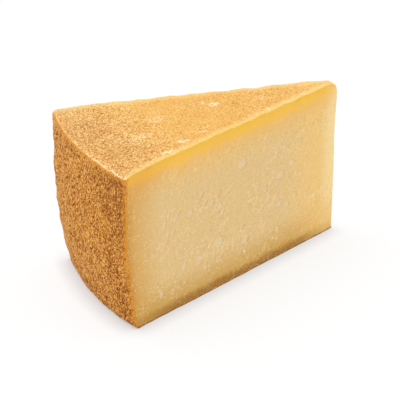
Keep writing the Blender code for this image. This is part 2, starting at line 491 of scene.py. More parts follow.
@dataclass(frozen=True)
class RindGrain:
    """The rind's fine, rough grain: knobs, flecks and pits, and its scraped and stained patches."""

    knob_size: float = 0.0017
    knob_height: float = 0.00012
    fleck_size: float = 0.0010
    fleck_height: float = 0.00007
    pit_size: float = 0.0021
    pit_depth: float = 0.00030
    pit_start: float = 0.30
    pit_full: float = 0.60
    pits_on_top: float = 0.35
    heel_roughness: float = 1.6
    scrapes: Tuple[Patch, ...] = (
        Patch((-0.1169, -0.0251, 0.102), (0.0100, 0.0040, 0.010), 1.0),
        Patch((-0.1313, -0.0318, 0.102), (0.0130, 0.0038, 0.010), 1.0),
        Patch((-0.1020, -0.0205, 0.102), (0.0060, 0.0025, 0.010), 0.7),
        Patch((-0.0800, 0.0064, 0.102), (0.0090, 0.0070, 0.010), 0.8),
        Patch((-0.0850, 0.0108, 0.102), (0.0050, 0.0035, 0.010), 0.7),
        Patch((-0.1190, 0.0058, 0.102), (0.0140, 0.0100, 0.010), 0.4),
        Patch((-0.1360, -0.0099, 0.102), (0.0150, 0.0120, 0.010), 0.4),
        Patch((-0.0513, 0.0001, 0.102), (0.0050, 0.0040, 0.010), 0.5),
        Patch((-0.1700, -0.0100, 0.089), (0.0060, 0.0045, 0.005), 0.30),
        Patch((-0.0986, -0.0170, 0.102), (0.0050, 0.0020, 0.010), 0.6),
        Patch((-0.0411, -0.0106, 0.102), (0.0080, 0.0022, 0.010), 0.9),
        Patch((-0.0274, -0.0066, 0.102), (0.0080, 0.0024, 0.010), 0.7),
        Patch((-0.0551, -0.0132, 0.102), (0.0070, 0.0020, 0.010), 0.6),
    )
    stains: Tuple[Patch, ...] = (
        Patch((-0.1664, -0.0377, 0.084), (0.0260, 0.0260, 0.046), 0.50),
        Patch((-0.1654, -0.0420, 0.078), (0.0120, 0.0070, 0.022), 0.65),
        Patch((-0.1700, -0.0190, 0.092), (0.0200, 0.0240, 0.014), 0.35),
        Patch((-0.1580, 0.0080, 0.102), (0.0300, 0.0600, 0.010), 0.20),
        Patch((-0.1500, -0.0190, 0.102), (0.0340, 0.0240, 0.010), 0.18),
    )
    knob_draw: float = 101.0
    fleck_draw: float = 117.0
    pit_draw: float = 139.0
    middle: float = 0.55
    knob_light: float = 0.42
    fleck_light: float = 0.50
    pit_dark: float = 0.55

    def at(self, place: Vector, upright: float) -> Tuple[float, float]:
        """The grain at a place.

        Args:
            place: The point of the clean form.
            upright: 0 on the level top, 1 on the upright heel.

        Returns:
            How far the grain stands out, and its lightness from 0 in a pit to 1 on a knob.
        """
        knob = ripple(place, self.knob_size, self.knob_draw)
        fleck = ripple(place, self.fleck_size, self.fleck_draw)
        pit = ripple(place, self.pit_size, self.pit_draw)
        pit = smooth_step(self.pit_start, self.pit_full, pit)
        pit *= self.pits_on_top + (1.0 - self.pits_on_top) * upright
        rough = 1.0 + (self.heel_roughness - 1.0) * upright
        height = self.knob_height * knob + self.fleck_height * fleck - self.pit_depth * pit
        light = self.middle + self.knob_light * knob + self.fleck_light * fleck
        light -= self.pit_dark * pit
        return rough * height, min(1.0, max(0.0, light))


class Eye(NamedTuple):
    """One eye of the paste: a small, shallow, oval hollow, open at the cut."""

    along: float
    height: float
    length: float
    width: float
    lean: float = math.radians(70)


@dataclass
class PieceBuilder:
    """Gathers the patches of one piece, which share their border points."""

    name: str
    marks: Sequence[Mark]
    places: List[Vector] = field(default_factory=list)
    faces: List[Tuple[int, ...]] = field(default_factory=list)
    values: Dict[Mark, List[float]] = field(default_factory=dict)

    def add_point(self, point: SkinPoint) -> int:
        """Adds a point and its marks.

        Args:
            point: The finished point.

        Returns:
            Its number in the mesh.
        """
        self.places.append(point.place)
        for mark in self.marks:
            self.values.setdefault(mark, []).append(point.marks.get(mark, 0.0))
        return len(self.places) - 1

    def add_grid(self, rows: Sequence[Sequence[SkinPoint]]) -> None:
        """Adds a patch of four-sided faces between rows of points.

        Args:
            rows: The rows, all of one length.
        """
        numbers = [[self.add_point(p) for p in row] for row in rows]
        for low, high in zip(numbers, numbers[1:]):
            for i in range(len(low) - 1):
                self.faces.append((low[i], low[i + 1], high[i + 1], high[i]))

    def add_fill(
        self,
        border: Sequence[SkinPoint],
        inner: Iterable[Flat],
        flatten: Callable[[Vector], Flat],
        lift: Callable[[float, float], SkinPoint],
    ) -> None:
        """Fills a border with triangles over inner points.

        Args:
            border: The closed border's finished points, in order.
            inner: The flattened inner points.
            flatten: Gives the flattened place of a border point.
            lift: Gives the finished point of a flattened inner point.
        """
        flat = [Vector(flatten(p.place)) for p in border] + [Vector(p) for p in inner]
        rim = list(range(len(border)))
        found = delaunay_2d_cdt(flat, [], [rim], FILL_INSIDE_ONLY, FILL_TOLERANCE)
        places, _, faces, origins, _, _ = found
        numbers = []
        for place, origin in zip(places, origins):
            on_border = [i for i in origin if i < len(border)]
            point = border[on_border[0]] if on_border else lift(place.x, place.y)
            numbers.append(self.add_point(point))
        self.faces += [tuple(numbers[i] for i in face) for face in faces]

    def add_level(
        self,
        border: Sequence[SkinPoint],
        spacing: float,
        clearance: float,
        lift: Callable[[float, float], SkinPoint],
    ) -> None:
        """Fills a nearly level border with evenly spaced points.

        Args:
            border: The closed border's finished points, in order.
            spacing: The spacing of the inner points.
            clearance: How far from the border they stay.
            lift: Gives the finished point of a flattened inner point.
        """
        flat = [(p.place.x, p.place.y) for p in border]
        inner = InsideTest(flat, spacing, clearance).grid()
        self.add_fill(border, inner, lambda p: (p.x, p.y), lift)

    def finish(self, form: WedgeForm, offset: Vector, crease: float) -> bpy.types.Object:
        """Makes the piece: one smooth mesh with its marks.

        Args:
            form: The wedge's form, which rounds the tip's top corner.
            offset: Moves the piece from the wheel's axis into the frame.
            crease: The angle past which an edge stays sharp.

        Returns:
            The piece's object.
        """
        mesh = bpy.data.meshes.new(self.name)
        mesh.from_pydata([form.round_corner(p) + offset for p in self.places], [], self.faces)
        for mark in self.marks:
            layer = mesh.attributes.new(mark.value, "FLOAT", "POINT")
            layer.data.foreach_set("value", self.values[mark])
        bm = bmesh.new()
        bm.from_mesh(mesh)
        bmesh.ops.remove_doubles(bm, verts=bm.verts[:], dist=SAME_POINT)
        bmesh.ops.dissolve_degenerate(bm, edges=bm.edges[:], dist=SAME_POINT)
        bmesh.ops.recalc_face_normals(bm, faces=bm.faces[:])
        open_edges = sum(1 for e in bm.edges if len(e.link_faces) != 2)
        bm.to_mesh(mesh)
        bm.free()
        mesh.shade_smooth()
        mesh.set_sharp_from_angle(angle=crease)
        piece = bpy.data.objects.new(self.name, mesh)
        bpy.context.scene.collection.objects.link(piece)
        count = sum(len(p.vertices) - 2 for p in mesh.polygons)
        LOG.info("%s: %d triangles, %d open edges", self.name, count, open_edges)
        return piece


class InsideTest:
    """Tells whether flat points lie inside a border and clear of it, by rows of its crossings."""

    def __init__(self, border: Sequence[Flat], spacing: float, clearance: float) -> None:
        """Prepares the test.

        Args:
            border: The closed border.
            spacing: The spacing of the inner points.
            clearance: How far from the border an inner point stays.
        """
        self.border = border
        self.spacing = spacing
        self.clearance = clearance
        self.cells: Dict[Tuple[int, int], List[Flat]] = {}
        for point in self._dense_border():
            self.cells.setdefault(self._cell(point), []).append(point)

    def _dense_border(self) -> Iterable[Flat]:
        """The border's points, with more between those that lie far apart.

        Returns:
            The points in order.
        """
        for (x0, y0), (x1, y1) in zip(self.border, [*self.border[1:], self.border[0]]):
            count = max(1, math.ceil(math.hypot(x1 - x0, y1 - y0) / self.clearance))
            for i in range(count):
                yield x0 + (x1 - x0) * i / count, y0 + (y1 - y0) * i / count

    def _cell(self, point: Flat) -> Tuple[int, int]:
        """The cell of a coarse grid that a point lies in."""
        return math.floor(point[0] / self.spacing), math.floor(point[1] / self.spacing)

    def is_clear(self, point: Flat) -> bool:
        """Whether a point keeps its distance from the border.

        Args:
            point: The flat point.

        Returns:
            True where it is clear.
        """
        column, row = self._cell(point)
        for i in (column - 1, column, column + 1):
            for j in (row - 1, row, row + 1):
                for x, y in self.cells.get((i, j), ()):
                    if math.hypot(point[0] - x, point[1] - y) < self.clearance:
                        return False
        return True

    def crossings(self, height: float) -> List[float]:
        """Where the border crosses a level line.

        Args:
            height: The line's height.

        Returns:
            The crossings in order.
        """
        found = []
        for (x0, y0), (x1, y1) in zip(self.border, [*self.border[1:], self.border[0]]):
            if (y0 > height) != (y1 > height):
                found.append(x0 + (x1 - x0) * (height - y0) / (y1 - y0))
        return sorted(found)

    def grid(self) -> Iterable[Flat]:
        """The inner points: rows of a honeycomb, clear of the border.

        Returns:
            The points, row by row.
        """
        heights = [y for _, y in self.border]
        row_step = self.spacing * math.sqrt(3.0) / 2
        rows = math.floor((max(heights) - min(heights)) / row_step)
        for row in range(1, rows + 1):
            y = min(heights) + row * row_step
            edges = self.crossings(y)
            shift = 0.5 * (row % 2)
            for left, right in zip(edges[::2], edges[1::2]):
                first = math.ceil(left / self.spacing - shift)
                last = math.floor(right / self.spacing - shift)
                for i in range(first, last + 1):
                    point = ((i + shift) * self.spacing, y)
                    if self.is_clear(point):
                        yield point


@dataclass
class Skin:
    """The finished surfaces of the wedge: the rind's outer skin and the seam where it ends."""

    form: WedgeForm
    relief: Relief
    grain: RindGrain
    step: float = 0.00048
    columns: int = 190
    tip_columns: int = 12
    top_thickness: float = 0.0006
    heel_thickness: float = 0.0017
    foot_thickness: float = 0.0011
    thickness_spread: float = 0.35
    thickness_size: float = 0.004
    thickness_draw: float = 151.0
    # Where the painted highlight along the rounded rim lies
    rim_highlight_width: float = 0.0013
    rim_highlight_inset: float = 0.3
    hidden_depth: float = 0.0035

    def __post_init__(self) -> None:
        """Works out the section and the outlines that all patches share."""
        self.section = self.form.section(self.step)
        self.outline = self.form.outline(self.section, self.step)
        self.heel_start = len(self.outline) - len(self.section) - self._foot_count()
        self.heel_end = self.heel_start + len(self.section) - 1

    def _foot_count(self) -> int:
        """How many of the outline's points lie on the level foot."""
        return sum(1 for p in self.outline if p.height == 0.0) - 1

    def upright_share(self, place: Vector) -> float:
        """0 on the level top, 1 on the heel below the rim."""
        near_top = max(0.0, 1.0 - (self.form.height - place.z) / self.form.rim_radius)
        return 1.0 - min(1.0, near_top)

    def rim_highlight_share(self, place: Vector) -> float:
        """How strongly the painted highlight on the rounded rim between the top and the heel shows
        at a place.

        Args:
            place: The point of the clean form.

        Returns:
            1 along the rim's middle, fading over its width.
        """
        form = self.form
        inset = self.rim_highlight_inset * form.rim_radius
        corner = form.heel_radius(form.height - form.rim_radius) - inset
        from_side = place.to_2d().length - corner
        from_top = place.z - (form.height - inset)
        return 1.0 - smooth_step(0.0, self.rim_highlight_width, math.hypot(from_side, from_top))

    def rind_point(self, clean: Vector, out: Vector, more: Vector) -> SkinPoint:
        """A finished point of the rind's outer skin.

        Args:
            clean: The point of the clean form.
            out: The direction that the skin faces there.
            more: A further move, such as the cut's.

        Returns:
            The point.
        """
        upright = self.upright_share(clean)
        height, light = self.grain.at(clean, upright)
        above_foot = min(1.0, clean.z / self.form.foot_radius)
        place = clean + self.relief.rind_shift(clean) + out * height * above_foot + more
        place.z = max(0.0, place.z)
        marks = {Mark.GRAIN: light, Mark.UPRIGHT: upright, Mark.RIM: self.rim_highlight_share(clean)}
        marks[Mark.FROM_CUT] = self.form.from_cut(clean)
        marks[Mark.SCRAPE] = max(patch.at(clean) for patch in self.grain.scrapes)
        marks[Mark.STAIN] = max(patch.at(clean) for patch in self.grain.stains)
        return SkinPoint(place, marks)

    def heel_point(self, share: float, at: SectionPoint) -> SkinPoint:
        """A finished point of the turned skin.

        Args:
            share: From -1 at the front cut to 1 at the back cut.
            at: The point of the wheel's section.

        Returns:
            The point.
        """
        clean = self.form.on_heel(share, at.radius, at.height)
        out = clean.to_2d().normalized().to_3d() * at.out_radius + UP * at.out_height
        more = self.relief.heel_cut_shift(share, at.radius, at.height)
        return self.rind_point(clean, out, more)

    def edge_point(self, cut: Cut, at: OutlinePoint) -> SkinPoint:
        """A finished point where the rind's skin meets a cut.

        Args:
            cut: The cut.
            at: The point of its outline.

        Returns:
            The point.
        """
        clean = self.form.on_cut(cut, at.along, at.height)
        out = self.form.way(cut) * at.out_along + UP * at.out_height
        return self.rind_point(clean, out, self.relief.cut_shift(clean, cut))

    def thickness(self, clean: Vector, out_level: float, out_height: float) -> float:
        """The rind's thickness: thin on top, thicker at the heel and the foot, and uneven.

        Args:
            clean: The point of the clean form.
            out_level: The level part of the direction that the skin faces.
            out_height: The upright part of it.

        Returns:
            The thickness there.
        """
        level = self.top_thickness if out_height > 0.0 else self.foot_thickness
        mean = level * out_height**2 + self.heel_thickness * out_level**2
        uneven = ripple(clean, self.thickness_size, self.thickness_draw)
        return mean * (1.0 + self.thickness_spread * uneven)

    def seam_point(self, cut: Cut, at: OutlinePoint) -> SkinPoint:
        """A finished point of a cut where the rind ends and the paste begins.

        Args:
            cut: The cut.
            at: The outline's point above it.

        Returns:
            The point.
        """
        clean = self.form.on_cut(cut, at.along, at.height)
        depth = self.thickness(clean, at.out_along, at.out_height)
        out = self.form.way(cut) * at.out_along + UP * at.out_height
        skin = self.edge_point(cut, at)
        marks = {**skin.marks, Mark.SECTION: 1.0, Mark.RIM: 0.0}
        marks[Mark.FROM_HEEL] = self.from_heel(clean)
        return SkinPoint(skin.place - out * depth, marks)

    def inner_heel_point(self, share: float, at: SectionPoint) -> SkinPoint:
        """A hidden point, well under the turned skin away from the cuts.

        Args:
            share: From -1 at the front cut to 1 at the back cut.
            at: The point of the wheel's section.

        Returns:
            The point.
        """
        clean = self.form.on_heel(share, at.radius, at.height)
        from_cut = (1.0 - abs(share)) * at.radius * self.form.half_angle
        deep = smooth_step(0.0, self.hidden_depth, from_cut)
        depth = self.thickness(clean, at.out_radius, at.out_height) * (1.0 - deep)
        depth += self.hidden_depth * deep
        out = clean.to_2d().normalized().to_3d() * at.out_radius + UP * at.out_height
        more = self.relief.heel_cut_shift(share, at.radius, at.height)
        return SkinPoint(clean - out * depth + self.relief.rind_shift(clean) + more, {})

    def from_heel(self, place: Vector) -> float:
        """How far inside the clean heel a place lies."""
        return self.form.heel_radius(place.z) - place.to_2d().length

    def tip_point(self, share: float, top: bool) -> SkinPoint:
        """A finished point of the skin's edge round the tip.

        Args:
            share: From 0 at the front cut to 1 at the back cut.
            top: Whether it is the top's edge and not the foot's.

        Returns:
            The point.
        """
        height = self.form.height if top else 0.0
        clean = self.form.on_tip(share, height)
        out = UP if top else -UP
        return self.rind_point(clean, out, self.relief.tip_shift(share, height))

    def inner_tip_point(self, share: float, top: bool) -> SkinPoint:
        """A finished point of the seam round the tip.

        Args:
            share: From 0 at the front cut to 1 at the back cut.
            top: Whether it is the top's seam and not the foot's.

        Returns:
            The point.
        """
        height = self.form.height if top else 0.0
        clean = self.form.on_tip(share, height)
        depth = self.thickness(clean, 0.0, 1.0 if top else -1.0)
        skin = self.tip_point(share, top)
        marks = {**skin.marks, Mark.SECTION: 1.0, Mark.FROM_HEEL: self.from_heel(clean)}
        return SkinPoint(skin.place + UP * (-depth if top else depth), marks)

    def edge(self, cut: Cut) -> List[SkinPoint]:
        """The skin's whole edge on a cut."""
        return [self.edge_point(cut, p) for p in self.outline]

    def seam(self, cut: Cut) -> List[SkinPoint]:
        """The whole seam on a cut."""
        return [self.seam_point(cut, p) for p in self.outline]

    def shares(self, columns: int) -> List[float]:
        """Evenly spaced shares of the heel's width, without the two cuts."""
        return [-1.0 + 2.0 * i / columns for i in range(1, columns)]

    def tip_shares(self) -> List[float]:
        """Evenly spaced shares of the tip's rounding, without the two cuts."""
        return [i / self.tip_columns for i in range(1, self.tip_columns)]


@dataclass
class InnerFaces:
    """The hidden faces that the rind and the paste share: under the top, heel and underside."""

    skin: Skin
    front: List[SkinPoint]
    back: List[SkinPoint]
    columns: int = 26
    spacing: float = 0.006
    clearance: float = 0.0006

    def __post_init__(self) -> None:
        """Works out the curves between the two seams."""
        skin = self.skin
        shares = skin.shares(self.columns)
        self.top_curve = [skin.inner_heel_point(s, skin.section[0]) for s in shares]
        self.foot_curve = [skin.inner_heel_point(s, skin.section[-1]) for s in shares]
        self.tip_top = [skin.inner_tip_point(s, True) for s in skin.tip_shares()]
        self.tip_foot = [skin.inner_tip_point(s, False) for s in skin.tip_shares()]

    def add_to(self, builder: PieceBuilder) -> None:
        """Adds the three hidden faces to a piece.

        Args:
            builder: The piece's builder.
        """
        start, end = self.skin.heel_start, self.skin.heel_end
        top = [*self.front[: start + 1], *self.top_curve, *reversed(self.back[: start + 1])]
        foot = [*reversed(self.front[end:]), *self.foot_curve, *self.back[end:]]
        self._add_level(builder, [*top, *reversed(self.tip_top)])
        self._add_level(builder, [*foot, *reversed(self.tip_foot)])
        self._add_heel(builder)

    def _add_level(self, builder: PieceBuilder, border: Sequence[SkinPoint]) -> None:
        """Adds a hidden face that is nearly level.

        Args:
            builder: The piece's builder.
            border: Its closed border.
        """
        middle = self.skin.form.height / 2
        mean = sum(p.place.z for p in border) / len(border)
        height = mean + math.copysign(self.skin.hidden_depth, middle - mean)
        builder.add_level(
            border,
            self.spacing,
            self.clearance,
            lambda x, y: SkinPoint(Vector((x, y, height)), {}),
        )

    def _add_heel(self, builder: PieceBuilder) -> None:
        """Adds the hidden face under the turned skin.

        Args:
            builder: The piece's builder.
        """
        start, end = self.skin.heel_start, self.skin.heel_end
        border = [*self.front[start : end + 1], *self.foot_curve]
        border += [*reversed(self.back[start : end + 1]), *reversed(self.top_curve)]
        radius = self.skin.form.radius

        def unroll(place: Vector) -> Flat:
            """Where a point lies once the turned surface is laid flat."""
            return radius * math.atan2(place.y, -place.x), place.z

        def roll(x: float, z: float) -> SkinPoint:
            """The hidden point of a flat place, well under the skin."""
            inside = self.skin.form.heel_radius(z) - self.skin.hidden_depth
            return SkinPoint(polar(inside, x / radius, z), {})

        inner = InsideTest([unroll(p.place) for p in border], self.spacing, self.clearance).grid()
        builder.add_fill(border, inner, unroll, roll)


@dataclass
class Rind:
    """The rind: a thin crust with a rough skin, cut clean with the paste."""

    skin: Skin
    inner: InnerFaces
    spacing: float = 0.00050
    clearance: float = 0.00028
    foot_spacing: float = 0.0025
    foot_grain: float = 0.5
    crease: float = math.radians(60)
    strip_rows: int = 3

    def build(self, offset: Vector) -> bpy.types.Object:
        """Builds the rind's mesh.

        Args:
            offset: Moves the piece from the wheel's axis into the frame.

        Returns:
            The piece.
        """
        marks = [mark for mark in Mark if mark not in (Mark.EYE, Mark.FROM_HEEL)]
        builder = PieceBuilder("rind", marks)
        skin = self.skin
        edges = {cut: skin.edge(cut) for cut in Cut}
        shares = skin.shares(skin.columns)
        start, end = skin.heel_start, skin.heel_end
        rows = []
        for i, at in enumerate(skin.section):
            middle = [skin.heel_point(s, at) for s in shares]
            rows.append([edges[Cut.FRONT][start + i], *middle, edges[Cut.BACK][start + i]])
        builder.add_grid(rows)
        tip_top = [skin.tip_point(s, True) for s in skin.tip_shares()]
        tip_foot = [skin.tip_point(s, False) for s in skin.tip_shares()]
        front, back = edges[Cut.FRONT], edges[Cut.BACK]
        top_border = [*front[:start], *rows[0], *reversed(back[:start]), *reversed(tip_top)]
        foot_border = [*reversed(front[end + 1 :]), *rows[-1], *back[end + 1 :]]
        builder.add_level(
            top_border,
            self.spacing,
            self.clearance,
            lambda x, y: skin.rind_point(Vector((x, y, skin.form.height)), UP, STILL),
        )
        foot_marks = {Mark.GRAIN: self.foot_grain, Mark.UPRIGHT: 1.0}
        foot_marks[Mark.FROM_CUT] = skin.form.radius
        builder.add_level(
            [*foot_border, *reversed(tip_foot)],
            self.foot_spacing,
            self.clearance,
            lambda x, y: SkinPoint(Vector((x, y, 0.0)), foot_marks),
        )
        inner = self.inner
        top_seam = [inner.front[0], *inner.tip_top, inner.back[0]]
        foot_seam = [inner.front[-1], *inner.tip_foot, inner.back[-1]]
        self._add_strip(builder, front, inner.front)
        self._add_strip(builder, back, inner.back)
        self._add_strip(builder, [front[0], *tip_top, back[0]], top_seam)
        self._add_strip(builder, [front[-1], *tip_foot, back[-1]], foot_seam)
        inner.add_to(builder)
        return builder.finish(skin.form, offset, self.crease)

    def _add_strip(
        self, builder: PieceBuilder, outer: Sequence[SkinPoint], seam: Sequence[SkinPoint]
    ) -> None:
        """Adds the rind's own cut face, between its skin and the seam.

        Args:
            builder: The piece's builder.
            outer: The skin's edge.
            seam: The seam's points, one for each of the edge's.
        """
        rows = [list(outer)]
        for i in range(1, self.strip_rows):
            share = i / self.strip_rows
            row = []
            for above, below in zip(outer, seam):
                row.append(SkinPoint(above.place.lerp(below.place, share), below.marks))
            rows.append(row)
        rows.append(list(seam))
        builder.add_grid(rows)


@dataclass
class Paste:
    """The pale paste: two smooth cuts with small eyes, and the rounded tip."""

    skin: Skin
    inner: InnerFaces
    spacing: float = 0.00080
    clearance: float = 0.00040
    tip_step: float = 0.0007
    crease: float = math.radians(50)
    front_eyes: Tuple[Eye, ...] = (
        Eye(0.0827, 0.0750, 0.0084, 0.0067),
        Eye(0.1017, 0.0538, 0.0074, 0.0062),
        Eye(0.1015, 0.0304, 0.0082, 0.0072),
        Eye(0.0802, 0.0234, 0.0079, 0.0055),
        Eye(0.0509, 0.0559, 0.0067, 0.0060),
        Eye(0.0517, 0.0366, 0.0060, 0.0053),
        Eye(0.0449, 0.0331, 0.0050, 0.0034),
        Eye(0.1075, 0.0588, 0.0058, 0.0046),
        Eye(0.1159, 0.0681, 0.0070, 0.0038),
        Eye(0.0634, 0.0507, 0.0050, 0.0029),
        Eye(0.0417, 0.0600, 0.0053, 0.0041),
        Eye(0.1246, 0.0588, 0.0055, 0.0048),
        Eye(0.1355, 0.0600, 0.0062, 0.0034, math.radians(48)),
        Eye(0.1445, 0.0590, 0.0056, 0.0038),
        Eye(0.1296, 0.0256, 0.0070, 0.0038),
        Eye(0.1171, 0.0250, 0.0067, 0.0053),
        Eye(0.1477, 0.0150, 0.0050, 0.0034),
    )
    back_count: int = 12
    small_count: int = 30
    small_spread: float = 0.009
    reach: Flat = (0.026, 0.152)
    heights: Flat = (0.014, 0.084)
    small_reach: Flat = (0.014, 0.158)
    small_heights: Flat = (0.007, 0.092)
    large_lengths: Flat = (0.0042, 0.0070)
    small_lengths: Flat = (0.0011, 0.0032)
    slimness: Flat = (0.60, 0.90)
    depth_share: float = 0.06
    lean: float = math.radians(70)
    lean_spread: float = math.radians(25)
    large_gap: float = 0.0115
    gap: float = 0.0045
    squareness: float = 1.6
    small_showing: float = 0.25
    rim_start: float = 0.80
    rim_end: float = 1.04
    ring_points: int = 26
    rings: Tuple[float, ...] = (0.35, 0.70, 0.84, 0.95, 1.06)
    least_ring_points: int = 6
    ring_room: float = 0.15
    seed: int = 29

    def _eyes(self, cut: Cut) -> List[Eye]:
        """The eyes of one cut: some large, many small, and apart from each other.

        Args:
            cut: The cut.

        Returns:
            Its eyes.
        """
        rng = random.Random(self.seed + cut.value)
        eyes: List[Eye] = []
        if cut is Cut.FRONT:
            eyes += self.front_eyes
        else:
            self._scatter(eyes, self.back_count, self.large_gap, self.large_lengths, (), rng)
        self._scatter(eyes, self.small_count, self.gap, self.small_lengths, tuple(eyes), rng)
        return eyes

    def _scatter(
        self,
        eyes: List[Eye],
        count: int,
        gap: float,
        lengths: Flat,
        near: Tuple[Eye, ...],
        rng: random.Random,
    ) -> None:
        """Adds random eyes that stay apart.

        Args:
            eyes: The eyes so far, which grow.
            count: How many are added.
            gap: The least distance between two middles.
            lengths: The shortest and the longest.
            near: The eyes that the new ones gather round, or none.
            rng: The source of chance.
        """
        wanted = len(eyes) + count
        while len(eyes) < wanted:
            along, height = rng.uniform(*self.reach), rng.uniform(*self.heights)
            if near:
                host = rng.choice(near)
                along = host.along + rng.gauss(0.0, self.small_spread)
                height = host.height + rng.gauss(0.0, self.small_spread)
            if not self._within(self.small_reach, along):
                continue
            if not self._within(self.small_heights, height):
                continue
            if any(math.hypot(along - e.along, height - e.height) < gap for e in eyes):
                continue
            length = rng.uniform(*lengths)
            width = length * rng.uniform(*self.slimness)
            lean = self.lean + rng.uniform(-1.0, 1.0) * self.lean_spread
            eyes.append(Eye(along, height, length, width, lean))

    @staticmethod
    def _within(limits: Flat, value: float) -> bool:
        """Whether a value lies between two limits."""
        return limits[0] < value < limits[1]

    def _lozenge(self, long_way: float, short_way: float) -> float:
        """How far out a point lies in the eyes' shape, between a lozenge and an oval."""
        power = self.squareness
        return (abs(long_way) ** power + abs(short_way) ** power) ** (1.0 / power)

    def _eye_share(self, eye: Eye, along: float, height: float) -> float:
        """How far out from an eye's middle a point of the cut lies.

        Args:
            eye: The eye.
            along: The point's distance from where the cuts would meet.
            height: Its height.

        Returns:
            0 in the middle, 1 on the rim.
        """
        to_tip, up = eye.along - along, height - eye.height
        long_way = to_tip * math.cos(eye.lean) + up * math.sin(eye.lean)
        short_way = up * math.cos(eye.lean) - to_tip * math.sin(eye.lean)
        return self._lozenge(2.0 * long_way / eye.length, 2.0 * short_way / eye.width)

    def _ring(self, eye: Eye) -> Iterable[Flat]:
        """Points round an eye, so that its rim is round.

        Args:
            eye: The eye.

        Returns:
            The points, ring by ring.
        """
        for size in self.rings:
            count = round(self.ring_points * size * eye.length / self.large_lengths[1])
            count = max(self.least_ring_points, count)
            for i in range(count):
                turn = 2.0 * math.pi * (i + size) / count
                reach = size / self._lozenge(math.cos(turn), math.sin(turn))
                long_way = reach * eye.length / 2 * math.cos(turn)
                short_way = reach * eye.width / 2 * math.sin(turn)
                to_tip = long_way * math.cos(eye.lean) - short_way * math.sin(eye.lean)
                up = long_way * math.sin(eye.lean) + short_way * math.cos(eye.lean)
                yield eye.along - to_tip, eye.height + up

    def build(self, offset: Vector) -> bpy.types.Object:
        """Builds the paste's mesh.

        Args:
            offset: Moves the piece from the wheel's axis into the frame.

        Returns:
            The piece.
        """
        builder = PieceBuilder("paste", (Mark.EYE, Mark.FROM_HEEL))
        tip = self._tip_rows()
        builder.add_grid(tip)
        self._add_cut(builder, Cut.FRONT, self.inner.front, [row[0] for row in tip[1:-1]])
        self._add_cut(builder, Cut.BACK, self.inner.back, [row[-1] for row in tip[1:-1]])
        self.inner.add_to(builder)
        return builder.finish(self.skin.form, offset, self.crease)

    def _tip_rows(self) -> List[List[SkinPoint]]:
        """The rounded tip's rows, from the top's seam down to the foot's.

        Returns:
            The rows.
        """
        skin = self.skin
        top = [self.inner.front[0], *self.inner.tip_top, self.inner.back[0]]
        foot = [self.inner.front[-1], *self.inner.tip_foot, self.inner.back[-1]]
        shares = [0.0, *skin.tip_shares(), 1.0]
        count = round(skin.form.height / self.tip_step)
        rows = [top]
        for i in range(1, count):
            row = []
            for share, above, below in zip(shares, top, foot):
                height = above.place.z + (below.place.z - above.place.z) * i / count
                place = skin.form.on_tip(share, height) + skin.relief.tip_shift(share, height)
                row.append(SkinPoint(place, {Mark.FROM_HEEL: skin.from_heel(place)}))
            rows.append(row)
        rows.append(foot)
        return rows

    def _add_cut(
        self,
        builder: PieceBuilder,
        cut: Cut,
        seam: Sequence[SkinPoint],
        tip_line: Sequence[SkinPoint],
    ) -> None:
        """Adds one cut with its eyes.

        Args:
            builder: The piece's builder.
            cut: The cut.
            seam: Its seam with the rind.
            tip_line: Where it meets the rounded tip, from the top down.
        """
        form, relief = self.skin.form, self.skin.relief
        way = form.way(cut)
        eyes = self._eyes(cut)

        def flatten(place: Vector) -> Flat:
            """Where a point lies on the cut: along it, and its height."""
            return (place - form.meeting).dot(way), place.z

        def lift(along: float, height: float) -> SkinPoint:
            """The finished point of a place on the cut, sunk where it lies in an eye.

            Args:
                along: The distance from where the cuts would meet.
                height: The height above the underside.

            Returns:
                The point.
            """
            clean = form.on_cut(cut, along, height)
            sunk, eye_mark = 0.0, 0.0
            for eye in near.get(cell(along, height), ()):
                share = self._eye_share(eye, along, height)
                inside = 1.0 - smooth_step(self.rim_start, self.rim_end, share)
                size = self.small_showing + eye.length / self.large_lengths[1]
                showing = inside * min(1.0, size)
                if showing > eye_mark:
                    sunk, eye_mark = eye.length * self.depth_share * inside, showing
            place = clean + relief.cut_shift(clean, cut) - form.normal(cut) * sunk
            marks = {Mark.EYE: eye_mark, Mark.FROM_HEEL: self.skin.from_heel(clean)}
            return SkinPoint(place, marks)

        def cell(along: float, height: float) -> Tuple[int, int]:
            """The cell of a coarse grid, for finding the eyes near a point."""
            return math.floor(along / self.gap), math.floor(height / self.gap)

        near: Dict[Tuple[int, int], List[Eye]] = {}
        for eye in eyes:
            column, row = cell(eye.along, eye.height)
            for i in (column - 1, column, column + 1):
                for j in (row - 1, row, row + 1):
                    near.setdefault((i, j), []).append(eye)

        def outside_eyes(point: Flat) -> bool:
            """Whether a point keeps clear of all eyes' rings."""
            reach = self.rings[-1] + self.ring_room
            return all(self._eye_share(e, *point) > reach for e in near.get(cell(*point), ()))

        border = [*seam, *reversed(tip_line)]
        test = InsideTest([flatten(p.place) for p in border], self.spacing, self.clearance)
        inner = [p for p in test.grid() if outside_eyes(p)]
        inner += [p for eye in eyes for p in self._ring(eye)]
        builder.add_fill(border, inner, flatten, lift)


class Span(NamedTuple):
    """A soft step of a value: where it starts and ends, and what it gives there."""

    start: float
    end: float
    low: float = 0.0
    high: float = 1.0


class Clouds(NamedTuple):
    """A random pattern: its size, its layers with their roughness, and how it is stretched."""

    size: float
    detail: float = 2.0
    rough: float = 0.5
    stretch: Triple = EVEN


class Tint(NamedTuple):
    """A colour, and the span of some value over which it comes in."""

    colour: Feed
    span: Span


